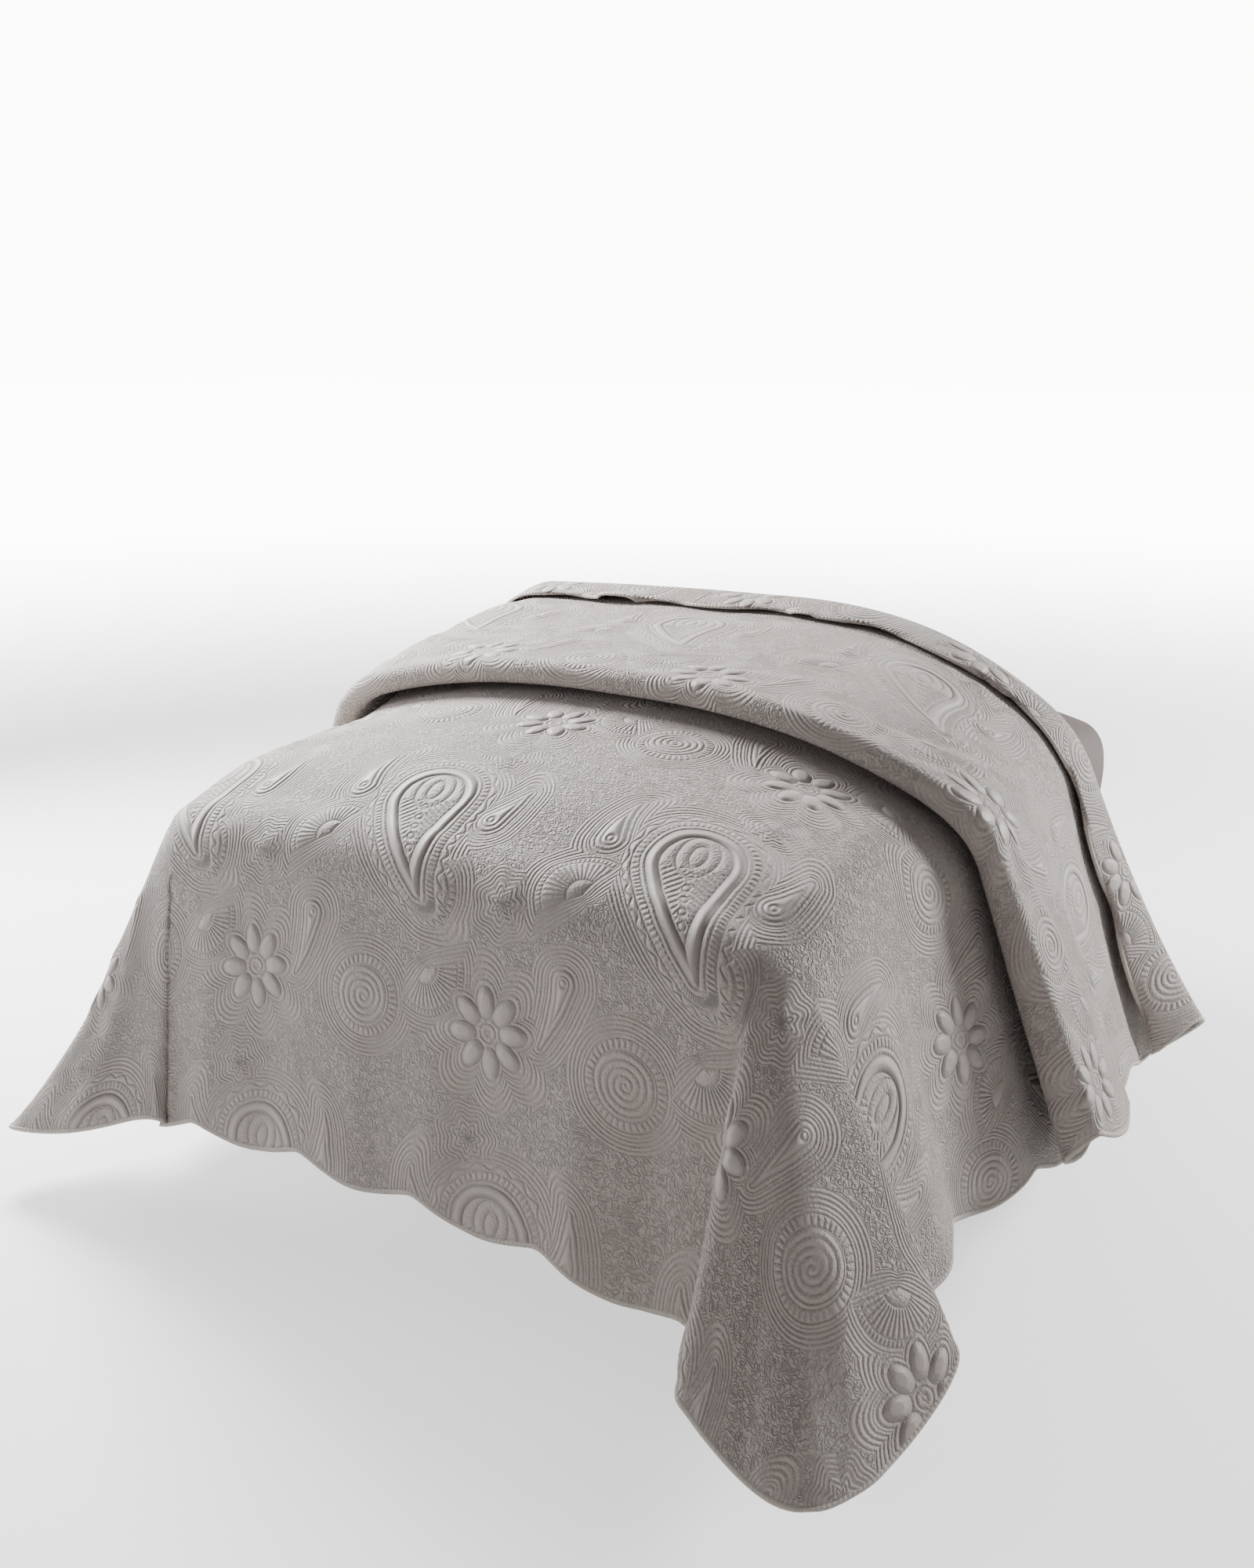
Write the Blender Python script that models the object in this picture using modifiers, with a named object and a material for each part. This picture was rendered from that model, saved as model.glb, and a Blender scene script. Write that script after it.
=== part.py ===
"""A quilted bedspread with a scalloped edge, lying over a double bed.

Frame: metres, +Z up. The origin is on the floor, under the middle of the bed.
+X is the bed's right-hand side seen from the foot, and +Y points to the head.

The bedspread is one sheet. It is laid out flat first, as rows from the foot hem to
the head hem and columns from the left hem to the right hem. A rule then says where
each point of the flat sheet comes to lie: on the crowned top, round an edge, down a
side, or in a cone of folds at a corner. Near the head the rows run forward, back and
forward again, which makes the Z fold, and the last rows turn over as the cuff.
"""

import bisect
import math

import bmesh
import bpy
from mathutils import Vector

# The bed.
BED_WIDTH = 1.35
BED_LENGTH = 1.89
PLATFORM_TOP = 0.40
PLATFORM_THICKNESS = 0.11
PLATFORM_INSET = 0.02
PLINTH_INSET = 0.34
BASE_EDGE_RADIUS = 0.012
MATTRESS_CLEARANCE = 0.010
GAP = 0.0003

# The sheet.
QUILT_THICKNESS = 0.005
BINDING_RADIUS = 0.0035
BINDING_GAP = 0.0021
TOP_HALF_WIDTH = 0.61
FOOT_LINE = -0.885
EDGE_RADIUS = 0.12
CROWN_POWER = 2.6
FOOT_DROP = 0.688
CORNER_POWER = 2.2

# The scallops of the hem.
SCALLOP_PITCH = 0.27
SCALLOP_DEPTH = 0.034
SCALLOP_SOFTNESS = 0.03
FOOT_SCALLOP_START = 0.03
CORNER_NOTCH_DEG = 12.0
CORNER_NOTCH_WIDTH_DEG = 11.0
CORNER_TIP = 0.092
CORNER_TIP_WIDTH_DEG = 18.0

# The Z fold and the cuff: where each fold lies along the bed, and its radius.
HIDDEN_FOLD = {"y": -0.12, "radius": 0.014}
FRONT_FOLD = {"y": -0.330, "radius": 0.024}
CUFF_FOLD = {"y": 0.390, "radius": 0.017, "radius_at_hem": 0.036}
CUFF_LENGTH = 0.095
CUFF_GAP = 0.015
LAYER_FLARE_DEG = 72.0
CUFF_SLANT = 0.055
FRONT_SWING = 0.05

# The bed's top under the sheet, from the foot to the head.
TOP_SECTIONS = (
    {"y": -0.885, "centre": 0.858, "left": 0.815, "right": 0.815},
    {"y": -0.760, "centre": 0.908, "left": 0.855, "right": 0.852},
    {"y": -0.580, "centre": 0.943, "left": 0.876, "right": 0.868},
    {"y": -0.400, "centre": 0.963, "left": 0.880, "right": 0.866},
    {"y": -0.120, "centre": 0.990, "left": 0.955, "right": 0.866},
    {"y": 0.100, "centre": 1.031, "left": 1.026, "right": 0.874},
    {"y": 0.300, "centre": 1.045, "left": 1.036, "right": 0.874},
    {"y": 0.430, "centre": 1.038, "left": 1.016, "right": 0.866},
    {"y": 0.540, "centre": 0.970, "left": 0.880, "right": 0.830},
    {"y": 0.660, "centre": 0.880, "left": 0.800, "right": 0.790},
    {"y": 0.885, "centre": 0.835, "left": 0.772, "right": 0.772},
)

# How high the upper layer lies above the bed's top, from the front fold to the cuff.
UPPER_LAYER = (
    {"y": -0.330, "lift": 0.076},
    {"y": -0.120, "lift": 0.062},
    {"y": 0.000, "lift": 0.036},
    {"y": 0.120, "lift": 0.018},
    {"y": 0.390, "lift": 0.012},
)

# How the sides hang: how far they lean outwards from upright, how far they stand away
# from the bed, and the length of cloth from the top's edge line to the hem.
SIDES = (
    {"y": -0.885, "flare": 15.0, "bulge": 0.000, "drop": 0.700},
    {"y": -0.700, "flare": 17.0, "bulge": 0.005, "drop": 0.712},
    {"y": -0.520, "flare": 14.0, "bulge": 0.012, "drop": 0.725},
    {"y": -0.330, "flare": 17.0, "bulge": 0.042, "drop": 0.748},
    {"y": 0.000, "flare": 18.0, "bulge": 0.042, "drop": 0.795},
    {"y": 0.430, "flare": 18.5, "bulge": 0.026, "drop": 0.830},
)
BULGE_RISE = 0.16
LEFT_BULGE_SHARE = 0.3
FOOT_FLARE_DEG = 9.0

# The folds round a foot corner, from the foot face to the side face. Each row is the
# way that the cloth hangs at that angle of the flat corner: how far it goes out to
# the side and out past the foot for each metre that it goes down.
RIGHT_CONE = (
    {"fold": "foot face", "cloth_deg": 0.0, "sideways": 0.00, "footward": 0.158},
    {"fold": "valley", "cloth_deg": 7.0, "sideways": 0.08, "footward": 0.20},
    {"fold": "ridge", "cloth_deg": 17.0, "sideways": 0.00, "footward": 0.48},
    {"fold": "tip", "cloth_deg": 45.0, "sideways": 0.34, "footward": 0.49},
    {"fold": "ridge", "cloth_deg": 73.0, "sideways": 0.56, "footward": -0.03},
    {"fold": "valley", "cloth_deg": 83.0, "sideways": 0.36, "footward": 0.10},
    {"fold": "side face", "cloth_deg": 90.0, "sideways": 0.268, "footward": 0.00},
)
LEFT_CONE = (
    {"fold": "foot face", "cloth_deg": 0.0, "sideways": 0.00, "footward": 0.158},
    {"fold": "valley", "cloth_deg": 7.0, "sideways": -0.08, "footward": 0.20},
    {"fold": "tip", "cloth_deg": 42.0, "sideways": 0.42, "footward": 0.32},
    {"fold": "valley", "cloth_deg": 60.0, "sideways": 0.28, "footward": 0.12},
    {"fold": "ridge", "cloth_deg": 76.0, "sideways": 0.40, "footward": -0.04},
    {"fold": "side face", "cloth_deg": 90.0, "sideways": 0.268, "footward": 0.00},
)
CONE_ROUNDING_DEG = 4.0

# The left corner's hem kicks outwards: how far, and over which part of the cloth.
KICK = 0.07
KICK_START = 0.45
KICK_LENGTH = 0.36

# The quilting: the padded motifs of a paisley repeat stand up from the sheet. Every other
# row is mirrored and moved half a repeat to the side. Each motif is a drop, round at its
# base and narrower at its tip, and a round motif is a drop without length.
REPEAT_WIDTH = 0.54
ROW_HEIGHT = 0.74
REPEAT_SHIFT = -0.08
MOTIF_RISE = 0.0035
MOTIF_EDGE = 0.030
PLAIN_HEM_SHARE = 0.08
MOTIFS = (
    {"kind": "great drop", "right": 0.0, "up": 0.07, "turn": 190, "length": 0.21, "base": 0.10, "tip": 0.02},
    {"kind": "coil", "right": 0.108, "up": -0.122, "turn": 0, "length": 0.0, "base": 0.055, "tip": 0.055},
    {"kind": "great coil", "right": -0.02, "up": -0.33, "turn": 0, "length": 0.0, "base": 0.08, "tip": 0.08},
    {"kind": "daisy", "right": 0.25, "up": -0.33, "turn": 0, "length": 0.0, "base": 0.09, "tip": 0.09},
    {"kind": "fan", "right": -0.15, "up": -0.06, "turn": 55, "length": 0.04, "base": 0.02, "tip": 0.06},
    {"kind": "fan", "right": 0.11, "up": -0.25, "turn": -140, "length": 0.04, "base": 0.02, "tip": 0.06},
    {"kind": "bud", "right": 0.165, "up": 0.05, "turn": -30, "length": 0.08, "base": 0.03, "tip": 0.01},
    {"kind": "bud", "right": -0.185, "up": 0.07, "turn": 14, "length": 0.1, "base": 0.03, "tip": 0.01},
    {"kind": "rosette", "right": 0.255, "up": -0.11, "turn": 0, "length": 0.0, "base": 0.04, "tip": 0.04},
)

# How finely the sheet is divided.
TOP_COLUMNS = 20
HANG_STEPS = (0.04, 0.08, 0.12, 0.18, 0.26, 0.345, 0.43, 0.52, 0.61, 0.70, 0.80, 0.90, 1.0)
TOP_ROWS = 12
TURN_ROWS = 6
HIDDEN_ROWS = 3
UPPER_ROWS = 13
CUFF_ROWS = 3


def read_table(table, column, y):
    """The value of a column at y: a smooth curve through the table's rows."""
    places = [row["y"] for row in table]
    values = [row[column] for row in table]
    if y <= places[0]:
        return values[0]
    if y >= places[-1]:
        return values[-1]
    i = bisect.bisect_right(places, y) - 1
    width = places[i + 1] - places[i]
    share = (y - places[i]) / width

    def slope(k):
        low, high = max(k - 1, 0), min(k + 1, len(places) - 1)
        return (values[high] - values[low]) / (places[high] - places[low])

    start, end = values[i], values[i + 1]
    square, cube = share * share, share**3
    return (
        (2 * cube - 3 * square + 1) * start
        + (cube - 2 * square + share) * width * slope(i)
        + (3 * square - 2 * cube) * end
        + (cube - square) * width * slope(i + 1)
    )


def smooth(share):
    share = min(max(share, 0.0), 1.0)
    return share * share * (3 - 2 * share)


def bed_top(x, y):
    """The height at which the lowest layer of the sheet lies on the bed."""
    centre = read_table(TOP_SECTIONS, "centre", y)
    shoulder = read_table(TOP_SECTIONS, "right" if x > 0 else "left", y)
    return centre - (centre - shoulder) * (abs(x) / TOP_HALF_WIDTH) ** CROWN_POWER


def top_slopes(x, y):
    """How steeply the bed's top rises along X and along Y."""
    step = 0.004
    inner = min(max(x, step - TOP_HALF_WIDTH), TOP_HALF_WIDTH - step)
    along_x = (bed_top(inner + step, y) - bed_top(inner - step, y)) / (2 * step)
    along_y = (bed_top(x, y + step) - bed_top(x, y - step)) / (2 * step)
    return along_x, along_y


def top_normal(x, y):
    along_x, along_y = top_slopes(x, y)
    return Vector((-along_x, -along_y, 1)).normalized()


def tangent(x, y, direction):
    """The direction in which the top leaves (x, y), level direction given."""
    along_x, along_y = top_slopes(x, y)
    rise = along_x * direction[0] + along_y * direction[1]
    return Vector((direction[0], direction[1], rise)).normalized()


def fall(start, outward, hanging, radius, distance):
    """Goes from the top round an edge of this radius, then straight along hanging."""
    turn = outward.angle(hanging)
    done = min(distance / radius, turn)
    over_edge = (
        (math.cos(turn - done) - math.cos(turn)) * outward
        + (1 - math.cos(done)) * hanging
    ) * (radius / math.sin(turn))
    return start + over_edge + max(distance - radius * turn, 0) * hanging


def hanging_direction(row, side):
    return Vector((side * row["sideways"], -row["footward"], -1)).normalized()


def cone_directions(cone, side, steps=90):
    """The hanging direction for each degree of cloth round a corner, folds rounded."""
    folds = [hanging_direction(row, side) for row in cone]
    places = [row["cloth_deg"] for row in cone]
    sharp = []
    for i in range(steps + 1):
        at = places[-1] * i / steps
        k = min(bisect.bisect_right(places, at) - 1, len(folds) - 2)
        share = (at - places[k]) / (places[k + 1] - places[k])
        sharp.append(folds[k].slerp(folds[k + 1], share))
    rounded = []
    for i in range(steps + 1):
        room = min(i, steps - i)
        total = Vector((0, 0, 0))
        for j in range(-room, room + 1):
            weight = math.exp(-0.5 * (j / CONE_ROUNDING_DEG) ** 2)
            total += weight * sharp[i + j]
        rounded.append(total.normalized())
    return rounded


CONES = {1: cone_directions(RIGHT_CONE, 1), -1: cone_directions(LEFT_CONE, -1)}


def cone_direction(side, angle):
    """The hanging direction at this angle of cloth, from 0 at the foot face."""
    directions = CONES[side]
    at = min(max(angle / (math.pi / 2), 0), 1) * (len(directions) - 1)
    i = min(int(at), len(directions) - 2)
    return directions[i].lerp(directions[i + 1], at - i).normalized()


def scallop(along):
    """How far the hem is cut back at this place along it: lobes with soft notches."""
    wave = math.sin(math.pi * along / SCALLOP_PITCH)
    lobe = math.sqrt(wave * wave + SCALLOP_SOFTNESS) / math.sqrt(1 + SCALLOP_SOFTNESS)
    return SCALLOP_DEPTH * (1 - lobe)


def corner_reach(angle):
    """The length of cloth from a corner of the top to the rounded corner of the hem.

    The corner is one broad lobe between two notches.
    """
    foot = math.cos(angle) / FOOT_DROP
    side = math.sin(angle) / SIDES[0]["drop"]
    lobe = (foot**CORNER_POWER + side**CORNER_POWER) ** (-1 / CORNER_POWER)
    degrees = math.degrees(angle)
    tip = CORNER_TIP * math.exp(-(((degrees - 45) / CORNER_TIP_WIDTH_DEG) ** 2))
    notch = 0.0
    for middle in (CORNER_NOTCH_DEG, 90 - CORNER_NOTCH_DEG):
        notch += math.exp(-(((degrees - middle) / CORNER_NOTCH_WIDTH_DEG) ** 2))
    return lobe + tip - SCALLOP_DEPTH * notch


def lay_foot(t, distance):
    """A point of the foot's drop, or of a corner where t is past the top's side."""
    side = 1 if t > 0 else -1
    past = max(abs(t) - TOP_HALF_WIDTH, 0)
    x = side * (abs(t) - past)
    start = Vector((x, FOOT_LINE, bed_top(x, FOOT_LINE)))
    if past == 0:
        outward = tangent(x, FOOT_LINE, (0, -1))
        flare = math.radians(FOOT_FLARE_DEG)
        hanging = Vector((0, -math.sin(flare), -math.cos(flare)))
        return fall(start, outward, hanging, EDGE_RADIUS, distance)
    angle = math.atan2(past, distance)
    level = (side * math.sin(angle), -math.cos(angle))
    outward = tangent(x, FOOT_LINE, level)
    hanging = cone_direction(side, angle)
    reach = math.hypot(past, distance)
    lying = fall(start, outward, hanging, EDGE_RADIUS, reach)
    if side < 0:
        kick = KICK * max((reach - KICK_START) / KICK_LENGTH, 0) ** 2 * math.sin(2 * angle) ** 2
        lying += kick * Vector((hanging.x, hanging.y, 0)).normalized()
    return lying


def slanted(y, x, past):
    """Where a row really crosses: the cuff lies aslant, and the front fold swings back."""
    slant = CUFF_SLANT * x / TOP_HALF_WIDTH * smooth((y + 0.15) / 0.45)
    swing = FRONT_SWING * past * smooth((y + 0.60) / 0.25)
    return y + slant + swing


def lay_top(t, y, lift):
    """A point of a row that crosses the bed at y, this far above the bed's top."""
    side = 1 if t > 0 else -1
    past = max(abs(t) - TOP_HALF_WIDTH, 0)
    x = side * (abs(t) - past)
    y = slanted(y, x, past)
    start = Vector((x, y, bed_top(x, y))) + lift * top_normal(x, y)
    if past == 0:
        return start
    flare = read_table(SIDES, "flare", y) + LAYER_FLARE_DEG * lift
    flare = math.radians(flare)
    hanging = Vector((side * math.sin(flare), 0, -math.cos(flare)))
    outward = tangent(x, y, (side, 0))
    away = side * read_table(SIDES, "bulge", y) * smooth(past / BULGE_RISE)
    if side < 0:
        away *= LEFT_BULGE_SHARE
    return fall(start, outward, hanging, EDGE_RADIUS + lift, past) + Vector((away, 0, 0))


def motif_rise(u, v):
    """How far the quilting stands up at this place on the flat sheet."""
    rise = 0.0
    for motif in MOTIFS:
        row = math.floor((v - motif["up"]) / ROW_HEIGHT + 0.5)
        flip = -1 if row % 2 else 1
        x = u - REPEAT_SHIFT - flip * motif["right"] - (row % 2) * REPEAT_WIDTH / 2
        x = ((x + REPEAT_WIDTH / 2) % REPEAT_WIDTH - REPEAT_WIDTH / 2) * flip
        y = v - motif["up"] - row * ROW_HEIGHT
        turned = math.radians(motif["turn"])
        across = math.cos(turned) * x + math.sin(turned) * y
        along = math.cos(turned) * y - math.sin(turned) * x
        share = min(max(along / max(motif["length"], GAP), 0), 1)
        radius = motif["base"] + (motif["tip"] - motif["base"]) * share
        inside = radius - math.hypot(across, along - share * motif["length"])
        rise = max(rise, MOTIF_RISE * smooth(inside / MOTIF_EDGE))
    return rise


def turn(y, base, radius, way):
    """The rows of a half turn: (y, lift) from the lower layer to the upper one."""
    rows = []
    for i in range(1, TURN_ROWS):
        angle = math.pi * (i / TURN_ROWS - 0.5)
        rows.append((y + way * radius * math.cos(angle), base + radius * (1 + math.sin(angle))))
    return rows


def between(start, end, count):
    return [start + (end - start) * i / count for i in range(count + 1)]


def lengthwise_rows():
    """The rows on the bed's top, as functions that give (y, lift) for a share of the drop.

    The share is 0 on the top and 1 at the side hem, so that the cuff can open there.
    """
    rows = []

    def plain(y, lift):
        rows.append(lambda share: (y, lift))

    for y in between(FOOT_LINE, HIDDEN_FOLD["y"], TOP_ROWS)[1:]:
        plain(y, 0.0)
    for y, lift in turn(HIDDEN_FOLD["y"], 0.0, HIDDEN_FOLD["radius"], 1):
        plain(y, lift)
    middle = 2 * HIDDEN_FOLD["radius"]
    for y in between(HIDDEN_FOLD["y"], FRONT_FOLD["y"], HIDDEN_ROWS):
        plain(y, middle)
    for y, lift in turn(FRONT_FOLD["y"], middle, FRONT_FOLD["radius"], -1):
        plain(y, lift)
    for y in between(FRONT_FOLD["y"], CUFF_FOLD["y"], UPPER_ROWS):
        plain(y, read_table(UPPER_LAYER, "lift", y))

    def cuff_radius(share):
        return CUFF_FOLD["radius"] + (CUFF_FOLD["radius_at_hem"] - CUFF_FOLD["radius"]) * share**2

    def turning(i):
        base = UPPER_LAYER[-1]["lift"]
        return lambda share: turn(CUFF_FOLD["y"], base, cuff_radius(share), 1)[i]

    for i in range(TURN_ROWS - 1):
        rows.append(turning(i))

    def lying(i):
        def place(share):
            along = i / CUFF_ROWS
            base = UPPER_LAYER[-1]["lift"]
            top = 2 * cuff_radius(share)
            lift = base + top + (CUFF_GAP - top) * along**1.3
            return CUFF_FOLD["y"] - CUFF_LENGTH * along, lift

        return place

    for i in range(CUFF_ROWS + 1):
        rows.append(lying(i))
    return rows


def hem_places(rows):
    """How far along the side hem each row is, measured on the flat cloth."""
    places = [0.0]
    for before, after in zip(rows, rows[1:]):
        (y0, lift0), (y1, lift1) = before(0), after(0)
        places.append(places[-1] + math.hypot(y1 - y0, lift1 - lift0))
    return places


def columns():
    """The columns, as (t on the top, share of the drop past it, side)."""
    left = [(-TOP_HALF_WIDTH, share, -1) for share in reversed(HANG_STEPS)]
    top = [(t, 0.0, 1 if t > 0 else -1) for t in between(-TOP_HALF_WIDTH, TOP_HALF_WIDTH, TOP_COLUMNS)]
    right = [(TOP_HALF_WIDTH, share, 1) for share in HANG_STEPS]
    return left + top + right


def quilt_points():
    """The sheet's middle surface, as rows of points from the foot hem to the head hem,
    and how far the quilting stands up at each of them."""
    across = columns()
    grid, rises = [], []

    def padded(u, v, inward):
        return motif_rise(u, v) * smooth(inward / PLAIN_HEM_SHARE)

    for depth in reversed(HANG_STEPS):
        points, row_rises = [], []
        for t, share, side in across:
            if share == 0:
                u, v = t, depth * (FOOT_DROP - scallop(t - FOOT_SCALLOP_START))
            else:
                square = math.hypot(depth, share) ** 2 - (depth * share) ** 2
                past = share * math.sqrt(1 - depth * depth / 2)
                angle = math.atan2(past, depth * math.sqrt(1 - share * share / 2))
                reach = math.sqrt(square) * corner_reach(angle)
                u = side * (TOP_HALF_WIDTH + reach * math.sin(angle))
                v = max(reach * math.cos(angle), 1e-6)
            points.append(lay_foot(u, v))
            row_rises.append(padded(u, -v, 1 - max(depth, share)))
        grid.append(points)
        rises.append(row_rises)
    rows = [lambda share: (FOOT_LINE, 0.0)] + lengthwise_rows()
    places = hem_places(rows)
    first_upper = len(rows) - CUFF_ROWS - TURN_ROWS - UPPER_ROWS - 1
    first_cuff = len(rows) - CUFF_ROWS - TURN_ROWS
    for i, (row, along) in enumerate(zip(rows, places)):
        open_face = i < TOP_ROWS * 0.6 or first_upper < i < first_cuff
        points, row_rises = [], []
        for t, share, side in across:
            y, lift = row(share)
            u = t + side * share * (read_table(SIDES, "drop", y) - scallop(along))
            cut = scallop(u) if i == len(rows) - 1 else 0.0
            points.append(lay_top(u, y + cut, lift))
            row_rises.append(padded(u, along, 1 - share) if open_face else 0.0)
        grid.append(points)
        rises.append(row_rises)
    return grid, rises


def raised(grid, rises):
    """The same points, each moved outwards from the sheet by its rise."""
    result = []
    for i, row in enumerate(grid):
        before, after = grid[max(i - 1, 0)], grid[min(i + 1, len(grid) - 1)]
        points = []
        for j, point in enumerate(row):
            across = row[min(j + 1, len(row) - 1)] - row[max(j - 1, 0)]
            outward = across.cross(after[j] - before[j]).normalized()
            points.append(point + rises[i][j] * outward)
        result.append(points)
    return result


def new_object(name, mesh, material, parts):
    obj = bpy.data.objects.new(name, mesh)
    parts.objects.link(obj)
    mesh.materials.append(material)
    return obj


def new_material(name, colour, roughness, metallic=0.0):
    material = bpy.data.materials.new(name)
    material.use_nodes = True
    shader = material.node_tree.nodes["Principled BSDF"]
    shader.inputs["Base Color"].default_value = (*colour, 1)
    shader.inputs["Roughness"].default_value = roughness
    shader.inputs["Metallic"].default_value = metallic
    return material


def shaped_grid(points):
    """A grid primitive whose points are moved onto the given rows of points."""
    sheet = bmesh.new()
    rows, across = len(points), len(points[0])
    bmesh.ops.create_grid(sheet, x_segments=across - 1, y_segments=rows - 1, size=1)
    sheet.verts.ensure_lookup_table()
    for i, vertex in enumerate(sheet.verts):
        vertex.co = points[i // across][i % across]
    return sheet


def add_quilt(parts, grid):
    sheet = shaped_grid(grid)
    mesh = bpy.data.meshes.new("quilt")
    sheet.to_mesh(mesh)
    sheet.free()
    mesh.shade_smooth()
    obj = new_object("quilt", mesh, new_material("quilted cotton", (0.33, 0.295, 0.28), 0.7), parts)
    solid = obj.modifiers.new("Thickness", "SOLIDIFY")
    solid.thickness = QUILT_THICKNESS
    solid.offset = 0
    return obj


def hem_loop(grid):
    """The sheet's edge, all the way round, each point with the one inside it."""
    bottom = list(zip(grid[0], grid[1]))
    top = list(zip(grid[-1], grid[-2]))
    right = [(row[-1], row[-2]) for row in grid]
    left = [(row[0], row[1]) for row in grid]
    return bottom[:-1] + right[:-1] + top[:0:-1] + left[:0:-1]


def add_binding(parts, grid):
    """The bias binding, a narrow roll just outside the sheet's edge."""
    edge = hem_loop(grid)
    data = bpy.data.curves.new("binding", "CURVE")
    data.dimensions = "3D"
    data.bevel_depth = BINDING_RADIUS
    data.bevel_resolution = 0
    data.resolution_u = 1
    line = data.splines.new("POLY")
    line.points.add(len(edge) - 1)
    line.use_cyclic_u = True
    for i, (place, inside) in enumerate(edge):
        before = (place - edge[i - 1][0]).normalized()
        after = (edge[(i + 1) % len(edge)][0] - place).normalized()
        inward = inside - place
        normal = inward.cross(before + after).normalized()
        out_before, out_after = normal.cross(before), normal.cross(after)
        outward = (out_before + out_after).normalized()
        offset = (BINDING_RADIUS + BINDING_GAP) / max(outward.dot(out_before), 0.5)
        line.points[i].co = (*(place + outward * offset), 1)
    obj = bpy.data.objects.new("binding", data)
    parts.objects.link(obj)
    data.materials.append(new_material("bias binding", (0.36, 0.32, 0.29), 0.7))
    return obj


def add_mattress(parts):
    """The mattress in its fitted sheet, with a plump top that the bedspread follows."""
    half_width, half_length = BED_WIDTH / 2, BED_LENGTH / 2
    mattress = bmesh.new()
    steps_x, steps_y = 16, 24
    bmesh.ops.create_grid(mattress, x_segments=steps_x + 6, y_segments=steps_y + 6, size=1)
    mattress.verts.ensure_lookup_table()
    down = Vector((0, 0, -1))

    def spread(i, steps, low, high):
        """(place on the top, share of the rounded edge past it, side) of a grid line."""
        if i < 3:
            return low, (3 - i) / 3, -1
        if i > steps + 3:
            return high, (i - steps - 3) / 3, 1
        return low + (high - low) * (i - 3) / steps, 0.0, 0

    across = steps_x + 7
    for i, vertex in enumerate(mattress.verts):
        x, past_x, side_x = spread(i % across, steps_x, -TOP_HALF_WIDTH, TOP_HALF_WIDTH)
        y, past_y, side_y = spread(i // across, steps_y, FOOT_LINE, -FOOT_LINE)
        start = Vector((x, y, bed_top(x, y) - MATTRESS_CLEARANCE))
        most, least = max(past_x, past_y), min(past_x, past_y)
        if most > 0:
            lean = math.pi / 4 * least / most
            angle = lean if past_y >= past_x else math.pi / 2 - lean
            level = (side_x * math.sin(angle), side_y * math.cos(angle))
            outward = tangent(x, y, level)
            room_x, room_y = half_width - TOP_HALF_WIDTH, half_length + FOOT_LINE
            room = room_x * math.sin(angle) ** 2 + room_y * math.cos(angle) ** 2
            turned = outward.angle(down)
            radius = room / (1 - math.cos(turned))
            start = fall(start, outward, down, radius, most * radius * turned)
        vertex.co = start
    rim = [edge for edge in mattress.edges if edge.is_boundary]
    skirt = bmesh.ops.extrude_edge_only(mattress, edges=rim)["geom"]
    bottom = [item for item in skirt if isinstance(item, bmesh.types.BMVert)]
    for vertex in bottom:
        vertex.co.z = PLATFORM_TOP + GAP
    rim = [edge for edge in mattress.edges if edge.is_boundary]
    bmesh.ops.holes_fill(mattress, edges=rim)
    bmesh.ops.triangulate(mattress, faces=mattress.faces[:])
    bmesh.ops.recalc_face_normals(mattress, faces=mattress.faces[:])
    mesh = bpy.data.meshes.new("mattress")
    mattress.to_mesh(mesh)
    mattress.free()
    mesh.shade_smooth()
    return new_object("mattress", mesh, new_material("fitted sheet", (0.22, 0.18, 0.165), 0.75), parts)


def add_box(parts, name, inset, bottom, top, material):
    """A plain box under the mattress, with its edges taken off."""
    box = bmesh.new()
    bmesh.ops.create_cube(box, size=1)
    size = (BED_WIDTH - 2 * inset, BED_LENGTH - 2 * inset, top - bottom)
    bmesh.ops.scale(box, vec=size, verts=box.verts)
    bmesh.ops.translate(box, vec=(0, 0, (bottom + top) / 2), verts=box.verts)
    mesh = bpy.data.meshes.new(name)
    box.to_mesh(mesh)
    box.free()
    obj = new_object(name, mesh, material, parts)
    bevel = obj.modifiers.new("Edges", "BEVEL")
    bevel.width = BASE_EDGE_RADIUS
    bevel.segments = 2
    return obj


def main():
    for obj in list(bpy.data.objects):
        bpy.data.objects.remove(obj)
    parts = bpy.data.collections.new("quilted bedspread on a bed")
    bpy.context.scene.collection.children.link(parts)
    grid = raised(*quilt_points())
    add_quilt(parts, grid)
    add_binding(parts, grid)
    add_mattress(parts)
    dark = new_material("base fabric", (0.025, 0.022, 0.022), 0.85)
    underside = PLATFORM_TOP - PLATFORM_THICKNESS
    add_box(parts, "bed_platform", PLATFORM_INSET, underside, PLATFORM_TOP, dark)
    add_box(parts, "bed_plinth", PLINTH_INSET, 0.0, underside - GAP, dark)


main()
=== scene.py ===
# %% [markdown]
# # A quilted bedspread on a double bed
#
# The bedspread is one quilted cloth with a scalloped, bound edge. It hangs over the foot
# and both long sides of a plain bed, it is folded over on itself near the head, and its
# end is turned back as a narrow cuff that shows the reverse. This file dresses the packed
# solids of that bed, cell by cell. The solids come first, because every new piece takes
# its place from them.

# %% Load the frame
import bisect
import math

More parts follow.
